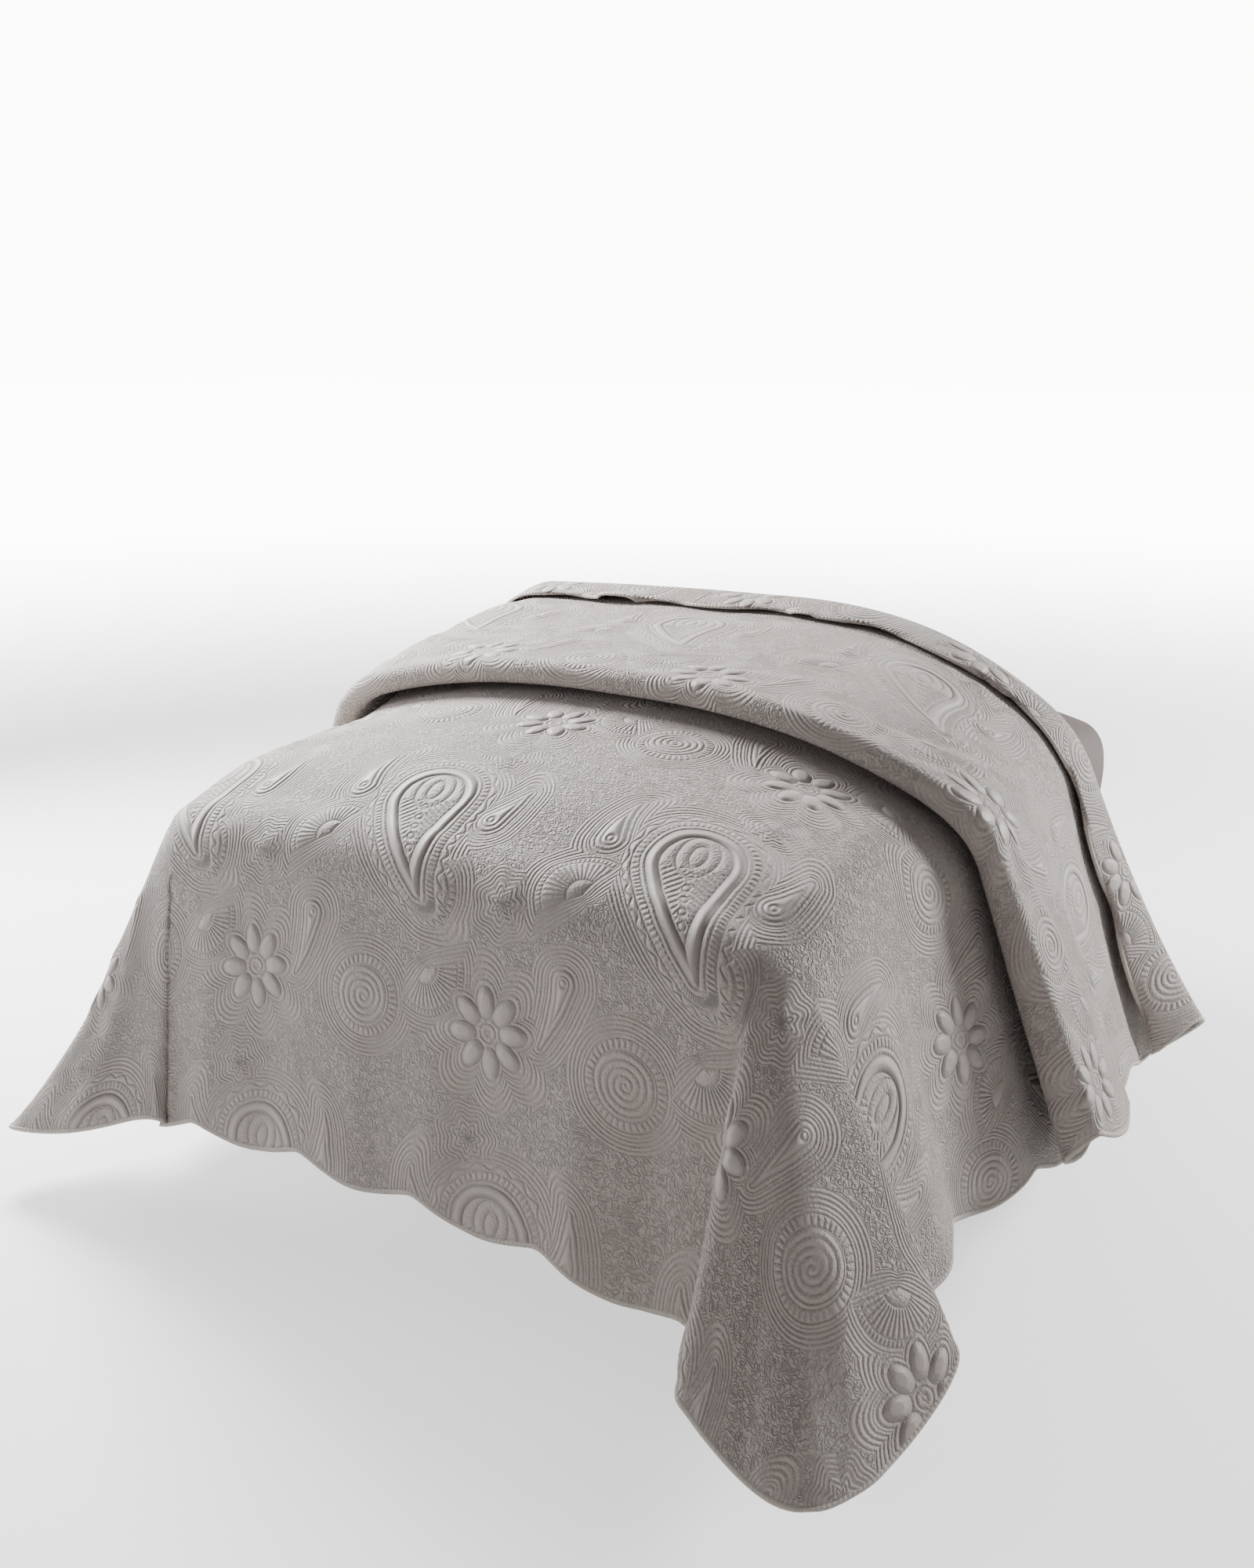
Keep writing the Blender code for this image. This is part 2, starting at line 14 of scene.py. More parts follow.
import bpy
import numpy as np
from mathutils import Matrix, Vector


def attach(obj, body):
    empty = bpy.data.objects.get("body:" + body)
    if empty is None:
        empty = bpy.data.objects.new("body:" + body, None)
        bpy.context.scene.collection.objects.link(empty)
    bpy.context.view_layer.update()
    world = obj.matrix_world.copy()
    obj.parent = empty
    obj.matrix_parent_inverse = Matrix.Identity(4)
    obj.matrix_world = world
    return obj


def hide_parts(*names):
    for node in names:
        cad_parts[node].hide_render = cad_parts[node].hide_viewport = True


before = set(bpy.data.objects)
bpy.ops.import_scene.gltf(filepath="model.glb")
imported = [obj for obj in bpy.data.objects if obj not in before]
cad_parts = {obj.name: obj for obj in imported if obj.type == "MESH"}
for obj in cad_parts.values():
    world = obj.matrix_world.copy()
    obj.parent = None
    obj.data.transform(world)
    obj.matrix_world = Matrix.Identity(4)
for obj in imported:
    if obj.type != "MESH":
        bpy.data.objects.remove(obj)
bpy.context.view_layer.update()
bpy.ops.object.select_all(action="DESELECT")
print("the solids:", ", ".join(sorted(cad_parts)))

# %% [markdown]
# ## Camera
#
# The camera stands at the foot of the bed, to the right of it and a little above the
# cloth, and looks down the bed at about 17 degrees. It could be aimed with a Track To
# constraint at an empty. Plain angles are used instead, because they can be read and
# nudged one by one. The small shift only sets the bed low in the frame.

# %% The camera
CAMERA_PLACE = (1.484, -2.707, 1.658)
CAMERA_DOWN_DEG = 16.81
CAMERA_LEFT_DEG = 32.86
CAMERA_LENS_MM = 40.93
CAMERA_SHIFT = (0.0219, -0.0025)

bpy.ops.object.camera_add(
    location=CAMERA_PLACE,
    rotation=(math.radians(90 - CAMERA_DOWN_DEG), 0, math.radians(CAMERA_LEFT_DEG)),
)
camera = bpy.context.object
camera.name = "camera"
camera.data.sensor_fit = "HORIZONTAL"
camera.data.sensor_width = 36
camera.data.lens = CAMERA_LENS_MM
camera.data.shift_x, camera.data.shift_y = CAMERA_SHIFT
bpy.context.scene.camera = camera

# %% [markdown]
# ## Floor
#
# The floor is one pale plane, marked as a stage so that it isn't part of the object. It
# glows a little for the camera only, more so far away, so that it runs into the pale
# background without a line. A curved sweep would do the same, but it would catch light.

# %% Floor
FLOOR_SIZE = 120.0
FLOOR_FADE = (2.5, 12.0)
FLOOR_GLOW = 1.1
BACKDROP_LIGHT = 12.0


def plain_material(name, colour, roughness):
    material = bpy.data.materials.new(name)
    material.use_nodes = True
    shader = material.node_tree.nodes["Principled BSDF"]
    shader.inputs["Base Color"].default_value = (*colour, 1)
    shader.inputs["Roughness"].default_value = roughness
    return material, shader


bpy.ops.mesh.primitive_plane_add(size=FLOOR_SIZE, location=(0, 0, 0))
floor = bpy.context.object
floor.name = "floor"
pale, shader = plain_material("pale floor", (0.9, 0.9, 0.9), 0.9)
place = pale.node_tree.nodes.new("ShaderNodeNewGeometry")
away = pale.node_tree.nodes.new("ShaderNodeVectorMath")
away.operation = "LENGTH"
pale.node_tree.links.new(place.outputs["Position"], away.inputs[0])
fade = pale.node_tree.nodes.new("ShaderNodeMapRange")
fade.interpolation_type = "SMOOTHSTEP"
fade.inputs["From Min"].default_value, fade.inputs["From Max"].default_value = FLOOR_FADE
fade.inputs["To Min"].default_value = FLOOR_GLOW
fade.inputs["To Max"].default_value = BACKDROP_LIGHT
pale.node_tree.links.new(away.outputs["Value"], fade.inputs["Value"])
seen = pale.node_tree.nodes.new("ShaderNodeLightPath")
glow = pale.node_tree.nodes.new("ShaderNodeMath")
glow.operation = "MULTIPLY"
pale.node_tree.links.new(fade.outputs["Result"], glow.inputs[0])
pale.node_tree.links.new(seen.outputs["Is Camera Ray"], glow.inputs[1])
pale.node_tree.links.new(glow.outputs["Value"], shader.inputs["Emission Strength"])
shader.inputs["Emission Color"].default_value = (1, 1, 1, 1)
floor.data.materials.append(pale)
print("the floor is", FLOOR_SIZE, "m wide")

# %% [markdown]
# ## World
#
# The world does two things. The camera sees it as a bright, even background, and the
# object gets only a weak light from it, which keeps the shade readable. A Light Path
# node tells the two apart. One strength for both would either grey the background or
# flatten the relief.

# %% World
WORLD_LIGHT = 0.26

world = bpy.data.worlds.new("studio")
bpy.context.scene.world = world
world.use_nodes = True
backdrop = world.node_tree.nodes["Background"]
backdrop.inputs["Color"].default_value = (1, 0.98, 0.96, 1)
ray = world.node_tree.nodes.new("ShaderNodeLightPath")
strength = world.node_tree.nodes.new("ShaderNodeMapRange")
strength.inputs["To Min"].default_value = WORLD_LIGHT
strength.inputs["To Max"].default_value = BACKDROP_LIGHT
world.node_tree.links.new(ray.outputs["Is Camera Ray"], strength.inputs["Value"])
world.node_tree.links.new(strength.outputs["Result"], backdrop.inputs["Strength"])
print("the world lights with", WORLD_LIGHT, "and shows as", BACKDROP_LIGHT)

# %% [markdown]
# ## Lamps
#
# The light comes from the left and from behind, as from large windows: the top of the
# bed is bright, and the faces by the camera lie in soft shade. Light that grazes a
# surface also shows the relief of its stitching. A sun lamp would give harder edges than
# a window does, so each one is a square area lamp. A weak lamp in front fills the shade.

# %% Lamps


def add_lamp(name, place, aim, size, power):
    bpy.ops.object.light_add(type="AREA", location=place)
    lamp = bpy.context.object
    lamp.name = name
    lamp.rotation_euler = (Vector(aim) - Vector(place)).to_track_quat("-Z", "Y").to_euler()
    lamp.data.shape = "SQUARE"
    lamp.data.size = size
    lamp.data.energy = power


add_lamp("left window", (-2.4, 0.3, 2.4), (-0.2, -0.4, 0.8), 1.1, 300)
add_lamp("low left window", (-4.2, -1.5, 1.2), (-0.6, -0.9, 0.5), 1.0, 90)
add_lamp("left side fill", (-3.8, -0.6, 1.1), (-0.9, -1.1, 0.4), 0.9, 80)
add_lamp("right window", (3.2, 3.5, 2.5), (0.6, -0.3, 0.6), 1.1, 400)
add_lamp("front fill", (-1.2, -4.5, 2.2), (0, -0.6, 0.6), 2.4, 24)
print("lamps:", len(bpy.data.lights))

# %% [markdown]
# ## The rules of the drape
#
# The solid of the bedspread was laid out flat, and a rule said where each point of the
# flat cloth comes to lie: on the crowned top, round an edge, down a side, or in a cone of
# folds at a corner. A cloth simulation could drape it anew, but it would fall into other
# folds than the ones in the picture. So the same rules are repeated here, and most of
# the cloth is made on a grid four to five times as fine. The next cells hold those rules.

# %% Sizes of the drape, as in the solid
TOP_HALF_WIDTH = 0.61
FOOT_LINE = -0.885
EDGE_RADIUS = 0.12
CROWN_POWER = 2.6
FOOT_DROP = 0.688
CORNER_POWER = 2.2

SCALLOP_PITCH = 0.27
SCALLOP_DEPTH = 0.034
SCALLOP_SOFTNESS = 0.03
FOOT_SCALLOP_START = 0.03
CORNER_NOTCH_DEG = 12.0
CORNER_NOTCH_WIDTH_DEG = 11.0
CORNER_TIP = 0.092
CORNER_TIP_WIDTH_DEG = 18.0

HIDDEN_FOLD = {"y": -0.12, "radius": 0.014}
FRONT_FOLD = {"y": -0.330, "radius": 0.024}
CUFF_FOLD = {"y": 0.390, "radius": 0.017, "radius_at_hem": 0.036}
CUFF_LENGTH = 0.095
CUFF_GAP = 0.015
LAYER_FLARE_DEG = 72.0
CUFF_SLANT = 0.055
SLANT_START = -0.15
SLANT_RUN = 0.45
FRONT_SWING = 0.05
SWING_START = -0.60
SWING_RUN = 0.25
BULGE_RISE = 0.16
LEFT_BULGE_SHARE = 0.3
FOOT_FLARE_DEG = 9.0
CONE_ROUNDING_DEG = 4.0
KICK = 0.07
KICK_START = 0.45
KICK_LENGTH = 0.36

# The bed's top under the sheet, from the foot to the head.
TOP_SECTIONS = (
    {"y": -0.885, "centre": 0.858, "left": 0.815, "right": 0.815},
    {"y": -0.760, "centre": 0.908, "left": 0.855, "right": 0.852},
    {"y": -0.580, "centre": 0.943, "left": 0.876, "right": 0.868},
    {"y": -0.400, "centre": 0.963, "left": 0.880, "right": 0.866},
    {"y": -0.120, "centre": 0.990, "left": 0.955, "right": 0.866},
    {"y": 0.100, "centre": 1.031, "left": 1.026, "right": 0.874},
    {"y": 0.300, "centre": 1.045, "left": 1.036, "right": 0.874},
    {"y": 0.430, "centre": 1.038, "left": 1.016, "right": 0.866},
    {"y": 0.540, "centre": 0.970, "left": 0.880, "right": 0.830},
    {"y": 0.660, "centre": 0.880, "left": 0.800, "right": 0.790},
    {"y": 0.885, "centre": 0.835, "left": 0.772, "right": 0.772},
)

# How high the upper layer lies above the bed's top, from the front fold to the cuff.
UPPER_LAYER = (
    {"y": -0.330, "lift": 0.076},
    {"y": -0.120, "lift": 0.062},
    {"y": 0.000, "lift": 0.036},
    {"y": 0.120, "lift": 0.018},
    {"y": 0.390, "lift": 0.012},
)

# How the sides hang: lean outwards, distance from the bed, length of the drop.
SIDES = (
    {"y": -0.885, "flare": 15.0, "bulge": 0.000, "drop": 0.700},
    {"y": -0.700, "flare": 17.0, "bulge": 0.005, "drop": 0.712},
    {"y": -0.520, "flare": 14.0, "bulge": 0.012, "drop": 0.725},
    {"y": -0.330, "flare": 17.0, "bulge": 0.042, "drop": 0.748},
    {"y": 0.000, "flare": 18.0, "bulge": 0.042, "drop": 0.795},
    {"y": 0.430, "flare": 18.5, "bulge": 0.026, "drop": 0.830},
)

# The folds round a foot corner, from the foot face to the side face: how far the cloth
# goes out to the side and out past the foot for each metre that it goes down.
RIGHT_CONE = (
    {"fold": "foot face", "cloth_deg": 0.0, "sideways": 0.00, "footward": 0.158},
    {"fold": "valley", "cloth_deg": 7.0, "sideways": 0.08, "footward": 0.20},
    {"fold": "ridge", "cloth_deg": 17.0, "sideways": 0.00, "footward": 0.48},
    {"fold": "tip", "cloth_deg": 45.0, "sideways": 0.34, "footward": 0.49},
    {"fold": "ridge", "cloth_deg": 73.0, "sideways": 0.56, "footward": -0.03},
    {"fold": "valley", "cloth_deg": 83.0, "sideways": 0.36, "footward": 0.10},
    {"fold": "side face", "cloth_deg": 90.0, "sideways": 0.268, "footward": 0.00},
)
LEFT_CONE = (
    {"fold": "foot face", "cloth_deg": 0.0, "sideways": 0.00, "footward": 0.158},
    {"fold": "valley", "cloth_deg": 7.0, "sideways": -0.08, "footward": 0.20},
    {"fold": "tip", "cloth_deg": 42.0, "sideways": 0.42, "footward": 0.32},
    {"fold": "valley", "cloth_deg": 60.0, "sideways": 0.28, "footward": 0.12},
    {"fold": "ridge", "cloth_deg": 76.0, "sideways": 0.40, "footward": -0.04},
    {"fold": "side face", "cloth_deg": 90.0, "sideways": 0.268, "footward": 0.00},
)
print("tables for", len(TOP_SECTIONS), "sections of the top and", len(SIDES), "of the sides")

# %% [markdown]
# ### Reading a table smoothly
#
# Each table has only the rows that the shape needs. Straight lines between them would
# leave kinks across the bed, so a smooth cubic runs through the rows instead.

# %% Smooth tables


def read_table(table, column, y):
    """The value of a column at y: a smooth curve through the table's rows."""
    places = [row["y"] for row in table]
    values = [row[column] for row in table]
    if y <= places[0]:
        return values[0]
    if y >= places[-1]:
        return values[-1]
    i = bisect.bisect_right(places, y) - 1
    width = places[i + 1] - places[i]
    share = (y - places[i]) / width

    def slope(k):
        low, high = max(k - 1, 0), min(k + 1, len(places) - 1)
        return (values[high] - values[low]) / (places[high] - places[low])

    start, end = values[i], values[i + 1]
    square, cube = share * share, share**3
    return (
        (2 * cube - 3 * square + 1) * start
        + (cube - 2 * square + share) * width * slope(i)
        + (3 * square - 2 * cube) * end
        + (cube - square) * width * slope(i + 1)
    )


def smooth(share):
    share = min(max(share, 0.0), 1.0)
    return share * share * (3 - 2 * share)


# %% [markdown]
# ### The top, and the way over its edge
#
# The bed's top is crowned: highest along its middle, and rounded off towards the sides.
# A point past the edge goes round an arc and then hangs straight in its own direction.

# %% Top and edges


def bed_top(x, y):
    """The height at which the lowest layer of the sheet lies on the bed."""
    centre = read_table(TOP_SECTIONS, "centre", y)
    shoulder = read_table(TOP_SECTIONS, "right" if x > 0 else "left", y)
    return centre - (centre - shoulder) * (abs(x) / TOP_HALF_WIDTH) ** CROWN_POWER


def top_slopes(x, y):
    """How steeply the bed's top rises along X and along Y."""
    step = 0.004
    inner = min(max(x, step - TOP_HALF_WIDTH), TOP_HALF_WIDTH - step)
    along_x = (bed_top(inner + step, y) - bed_top(inner - step, y)) / (2 * step)
    along_y = (bed_top(x, y + step) - bed_top(x, y - step)) / (2 * step)
    return along_x, along_y


def top_normal(x, y):
    along_x, along_y = top_slopes(x, y)
    return Vector((-along_x, -along_y, 1)).normalized()


def tangent(x, y, direction):
    """The direction in which the top leaves (x, y), level direction given."""
    along_x, along_y = top_slopes(x, y)
    rise = along_x * direction[0] + along_y * direction[1]
    return Vector((direction[0], direction[1], rise)).normalized()


def fall(start, outward, hanging, radius, distance):
    """Goes from the top round an edge of this radius, then straight along hanging."""
    turn = outward.angle(hanging)
    done = min(distance / radius, turn)
    over_edge = (
        (math.cos(turn - done) - math.cos(turn)) * outward
        + (1 - math.cos(done)) * hanging
    ) * (radius / math.sin(turn))
    return start + over_edge + max(distance - radius * turn, 0) * hanging


# %% [markdown]
# ### Corners
#
# Where two sides meet, a square corner of cloth has nowhere to go and stands out in a
# cone of folds. Each fold is a straight line from the corner of the top down to the hem,
# and the table gives the direction of each. Blending between them, and then rounding the
# result a little, gives soft ridges and valleys.

# %% Corner folds


def hanging_direction(row, side):
    return Vector((side * row["sideways"], -row["footward"], -1)).normalized()


def cone_directions(cone, side, steps=90):
    """The hanging direction for each degree of cloth round a corner, folds rounded."""
    folds = [hanging_direction(row, side) for row in cone]
    places = [row["cloth_deg"] for row in cone]
    sharp = []
    for i in range(steps + 1):
        at = places[-1] * i / steps
        k = min(bisect.bisect_right(places, at) - 1, len(folds) - 2)
        share = (at - places[k]) / (places[k + 1] - places[k])
        sharp.append(folds[k].slerp(folds[k + 1], share))
    rounded = []
    for i in range(steps + 1):
        room = min(i, steps - i)
        total = Vector((0, 0, 0))
        for j in range(-room, room + 1):
            weight = math.exp(-0.5 * (j / CONE_ROUNDING_DEG) ** 2)
            total += weight * sharp[i + j]
        rounded.append(total.normalized())
    return rounded


CONES = {1: cone_directions(RIGHT_CONE, 1), -1: cone_directions(LEFT_CONE, -1)}


def cone_direction(side, angle):
    """The hanging direction at this angle of cloth, from 0 at the foot face."""
    directions = CONES[side]
    at = min(max(angle / (math.pi / 2), 0), 1) * (len(directions) - 1)
    i = min(int(at), len(directions) - 2)
    return directions[i].lerp(directions[i + 1], at - i).normalized()


# %% [markdown]
# ### The scalloped hem
#
# The hem is cut in shallow lobes with soft notches between them. Here it is a wave whose
# corners are rounded, taken off the length of the drop. Each corner is one broad lobe
# between two notches.

# %% Scallops


def scallop(along):
    """How far the hem is cut back at this place along it: lobes with soft notches."""
    wave = math.sin(math.pi * along / SCALLOP_PITCH)
    lobe = math.sqrt(wave * wave + SCALLOP_SOFTNESS) / math.sqrt(1 + SCALLOP_SOFTNESS)
    return SCALLOP_DEPTH * (1 - lobe)


def corner_reach(angle):
    """The length of cloth from a corner of the top to the rounded corner of the hem."""
    foot = math.cos(angle) / FOOT_DROP
    side = math.sin(angle) / SIDES[0]["drop"]
    lobe = (foot**CORNER_POWER + side**CORNER_POWER) ** (-1 / CORNER_POWER)
    degrees = math.degrees(angle)
    tip = CORNER_TIP * math.exp(-(((degrees - 45) / CORNER_TIP_WIDTH_DEG) ** 2))
    notch = 0.0
    for middle in (CORNER_NOTCH_DEG, 90 - CORNER_NOTCH_DEG):
        notch += math.exp(-(((degrees - middle) / CORNER_NOTCH_WIDTH_DEG) ** 2))
    return lobe + tip - SCALLOP_DEPTH * notch


# %% [markdown]
# ### Laying a point of the flat cloth
#
# Two functions do it: one for the foot drop and the corners, and one for the rows that
# cross the bed, each at its own height above the top.

# %% Laying the cloth


def lay_foot(t, distance):
    """A point of the foot's drop, or of a corner where t is past the top's side."""
    side = 1 if t > 0 else -1
    past = max(abs(t) - TOP_HALF_WIDTH, 0)
    x = side * (abs(t) - past)
    start = Vector((x, FOOT_LINE, bed_top(x, FOOT_LINE)))
    if past == 0:
        outward = tangent(x, FOOT_LINE, (0, -1))
        flare = math.radians(FOOT_FLARE_DEG)
        hanging = Vector((0, -math.sin(flare), -math.cos(flare)))
        return fall(start, outward, hanging, EDGE_RADIUS, distance)
    angle = math.atan2(past, distance)
    level = (side * math.sin(angle), -math.cos(angle))
    outward = tangent(x, FOOT_LINE, level)
    hanging = cone_direction(side, angle)
    reach = math.hypot(past, distance)
    lying = fall(start, outward, hanging, EDGE_RADIUS, reach)
    if side < 0:
        kick = KICK * max((reach - KICK_START) / KICK_LENGTH, 0) ** 2 * math.sin(2 * angle) ** 2
        lying += kick * Vector((hanging.x, hanging.y, 0)).normalized()
    return lying


def slanted(y, x, past):
    """Where a row really crosses: the cuff lies aslant, and the front fold swings back."""
    slant = CUFF_SLANT * x / TOP_HALF_WIDTH * smooth((y - SLANT_START) / SLANT_RUN)
    swing = FRONT_SWING * past * smooth((y - SWING_START) / SWING_RUN)
    return y + slant + swing


def lay_top(t, y, lift):
    """A point of a row that crosses the bed at y, this far above the bed's top."""
    side = 1 if t > 0 else -1
    past = max(abs(t) - TOP_HALF_WIDTH, 0)
    x = side * (abs(t) - past)
    y = slanted(y, x, past)
    start = Vector((x, y, bed_top(x, y))) + lift * top_normal(x, y)
    if past == 0:
        return start
    flare = read_table(SIDES, "flare", y) + LAYER_FLARE_DEG * lift
    flare = math.radians(flare)
    hanging = Vector((side * math.sin(flare), 0, -math.cos(flare)))
    outward = tangent(x, y, (side, 0))
    away = side * read_table(SIDES, "bulge", y) * smooth(past / BULGE_RISE)
    if side < 0:
        away *= LEFT_BULGE_SHARE
    return fall(start, outward, hanging, EDGE_RADIUS + lift, past) + Vector((away, 0, 0))


# %% [markdown]
# ### Rows and columns
#
# From the foot hem the rows run up to the top and along it. Near the head they turn back
# in a hidden fold, come forward as far as the front fold, turn again and run to the cuff.
# The cuff opens towards the hem, so its rows depend on how far down the side they are.

# %% Rows of the cloth
FOOT_STEPS = 52
SIDE_STEPS = 56
TOP_COLUMNS = 92
TOP_ROWS = 58
TURN_ROWS = 9
HIDDEN_ROWS = 6
UPPER_ROWS = 56
CUFF_ROWS = 9
FADE_ROWS = 6
OPEN_TOP_SHARE = 0.66
PLAIN_HEM_SHARE = 0.08


def turn(y, base, radius, way):
    """The rows of a half turn: (y, lift) from the lower layer to the upper one."""
    rows = []
    for i in range(1, TURN_ROWS):
        angle = math.pi * (i / TURN_ROWS - 0.5)
        rows.append((y + way * radius * math.cos(angle), base + radius * (1 + math.sin(angle))))
    return rows


def between(start, end, count):
    return [start + (end - start) * i / count for i in range(count + 1)]


def lengthwise_rows():
    """The rows on the bed's top, as functions that give (y, lift) for a share of the drop."""
    rows = []

    def plain(y, lift):
        rows.append(lambda share: (y, lift))

    for y in between(FOOT_LINE, HIDDEN_FOLD["y"], TOP_ROWS):
        plain(y, 0.0)
    for y, lift in turn(HIDDEN_FOLD["y"], 0.0, HIDDEN_FOLD["radius"], 1):
        plain(y, lift)
    middle = 2 * HIDDEN_FOLD["radius"]
    for y in between(HIDDEN_FOLD["y"], FRONT_FOLD["y"], HIDDEN_ROWS):
        plain(y, middle)
    for y, lift in turn(FRONT_FOLD["y"], middle, FRONT_FOLD["radius"], -1):
        plain(y, lift)
    for y in between(FRONT_FOLD["y"], CUFF_FOLD["y"], UPPER_ROWS):
        plain(y, read_table(UPPER_LAYER, "lift", y))

    def cuff_radius(share):
        return CUFF_FOLD["radius"] + (CUFF_FOLD["radius_at_hem"] - CUFF_FOLD["radius"]) * share**2

    def turning(i):
        base = UPPER_LAYER[-1]["lift"]
        return lambda share: turn(CUFF_FOLD["y"], base, cuff_radius(share), 1)[i]

    for i in range(TURN_ROWS - 1):
        rows.append(turning(i))

    def lying(i):
        def place(share):
            along = i / CUFF_ROWS
            base = UPPER_LAYER[-1]["lift"]
            top = 2 * cuff_radius(share)
            lift = base + top + (CUFF_GAP - top) * along**1.3
            return CUFF_FOLD["y"] - CUFF_LENGTH * along, lift

        return place

    for i in range(CUFF_ROWS + 1):
        rows.append(lying(i))
    return rows


def cloth_places(rows):
    """How far along the flat cloth each row is, from the top's foot edge."""
    places = [0.0]
    for before, after in zip(rows, rows[1:]):
        (y0, lift0), (y1, lift1) = before(0), after(0)
        places.append(places[-1] + math.hypot(y1 - y0, lift1 - lift0))
    return places


def columns():
    """The columns, as (t on the top, share of the drop past it, side)."""
    shares = [i / SIDE_STEPS for i in range(1, SIDE_STEPS + 1)]
    left = [(-TOP_HALF_WIDTH, share, -1) for share in reversed(shares)]
    top = [(t, 0.0, 1 if t > 0 else -1) for t in between(-TOP_HALF_WIDTH, TOP_HALF_WIDTH, TOP_COLUMNS)]
    right = [(TOP_HALF_WIDTH, share, 1) for share in shares]
    return left + top + right


def drape():
    """Rows of points from the foot hem to the head hem: where each lies, its place on the
    flat cloth, and how open its face is: 1, or down to 0 at a hem and inside a fold."""
    across = columns()
    lying, flat, bare = [], [], []
    for step in range(FOOT_STEPS, 0, -1):
        depth = step / FOOT_STEPS
        points, places = [], []
        bare.append([smooth((1 - max(depth, share)) / PLAIN_HEM_SHARE) for _, share, _ in across])
        for t, share, side in across:
            if share == 0:
                u, v = t, depth * (FOOT_DROP - scallop(t - FOOT_SCALLOP_START))
            else:
                square = math.hypot(depth, share) ** 2 - (depth * share) ** 2
                past = share * math.sqrt(1 - depth * depth / 2)
                angle = math.atan2(past, depth * math.sqrt(1 - share * share / 2))
                reach = math.sqrt(square) * corner_reach(angle)
                u = side * (TOP_HALF_WIDTH + reach * math.sin(angle))
                v = max(reach * math.cos(angle), 1e-6)
            points.append(lay_foot(u, v))
            places.append((u, -v))
        lying.append(points)
        flat.append(places)
    rows = lengthwise_rows()
    last = len(rows) - 1
    first_cuff = len(rows) - CUFF_ROWS - TURN_ROWS
    first_upper = first_cuff - UPPER_ROWS
    for i, (row, along) in enumerate(zip(rows, cloth_places(rows))):
        points, places = [], []
        lower = smooth((OPEN_TOP_SHARE * TOP_ROWS - i) / FADE_ROWS)
        upper = smooth((i - first_upper) / FADE_ROWS) * smooth((first_cuff - i) / FADE_ROWS)
        bare.append([(lower + upper) * smooth((1 - share) / PLAIN_HEM_SHARE) for _, share, _ in across])
        for t, share, side in across:
            y, lift = row(share)
            u = t + side * share * (read_table(SIDES, "drop", y) - scallop(along))
            cut = scallop(u) if i == last else 0.0
            points.append(lay_top(u, y + cut, lift))
            places.append((u, along - cut))
        lying.append(points)
        flat.append(places)
    return np.array(lying), np.array(flat), np.array(bare)


cloth_points, cloth_flat, cloth_bare = drape()
print("the grid:", cloth_points.shape[:2])

# %% [markdown]
# ## The quilting pattern, written once
#
# The stitching draws a traditional paisley repeat: great drops with a smooth padded band,
# coils, fans, daisies and seeds, with echo lines between them. It could be painted as an
# image, but an image blurs up close. Here the pattern is worked out from formulas: for
# any place on the flat cloth they give the distance to the nearest stitched line. The
# same formulas are needed twice, with numbers to raise the mesh and with shader nodes to
# raise the finish. So each sum is written once. Given numbers it works them out, and
# given a Wire, which stands for a node's output, it adds a Math node.

# %% Sums that work on numbers and on node wires
NUMBER_RULES = {
    "ADD": np.add,
    "SUBTRACT": np.subtract,
    "MULTIPLY": np.multiply,
    "DIVIDE": np.divide,
    "MINIMUM": np.minimum,
    "MAXIMUM": np.maximum,
    "ABSOLUTE": np.abs,
    "SQRT": np.sqrt,
    "EXPONENT": np.exp,
    "SINE": np.sin,
    "ARCTAN2": np.arctan2,
    "FLOOR": np.floor,
    "FLOORED_MODULO": np.mod,
    "PINGPONG": lambda a, reach: reach - np.abs(np.mod(a, 2 * reach) - reach),
}


def rule(operation, *values):
    """Works the values out, or adds a Math node where one of them is a Wire."""
    if not any(isinstance(value, Wire) for value in values):
        return NUMBER_RULES[operation](*values)
    node = Wire.tree.nodes.new("ShaderNodeMath")
    node.operation = operation
    for socket, value in zip(node.inputs, values):
        if isinstance(value, Wire):
            Wire.tree.links.new(value.output, socket)
        else:
            socket.default_value = value
    return Wire(node.outputs[0])


class Wire:
    """The output of a shader node, with plus, minus, times and divided by."""

    tree = None

    def __init__(self, output):
        self.output = output

    def __add__(self, other):
        return rule("ADD", self, other)

    def __radd__(self, other):
        return rule("ADD", other, self)

    def __sub__(self, other):
        return rule("SUBTRACT", self, other)

    def __rsub__(self, other):
        return rule("SUBTRACT", other, self)

    def __mul__(self, other):
        return rule("MULTIPLY", self, other)

    def __rmul__(self, other):
        return rule("MULTIPLY", other, self)

    def __truediv__(self, other):
        return rule("DIVIDE", self, other)

    def __neg__(self):
        return rule("MULTIPLY", self, -1.0)

    def __abs__(self):
        return rule("ABSOLUTE", self)


def least(*values):
    result = values[0]
    for value in values[1:]:
        result = rule("MINIMUM", result, value)
    return result


def most(*values):
    result = values[0]
    for value in values[1:]:
        result = rule("MAXIMUM", result, value)
    return result


def clamp(value, low, high):
    return least(most(value, low), high)


def from_middle(x, y):
    return rule("SQRT", x * x + y * y)


def to_lines(value, pitch):
    """The distance to the nearest of many lines, one at each multiple of the pitch."""
    return rule("PINGPONG", value, pitch / 2)


print("sums for numbers and wires:", len(NUMBER_RULES))

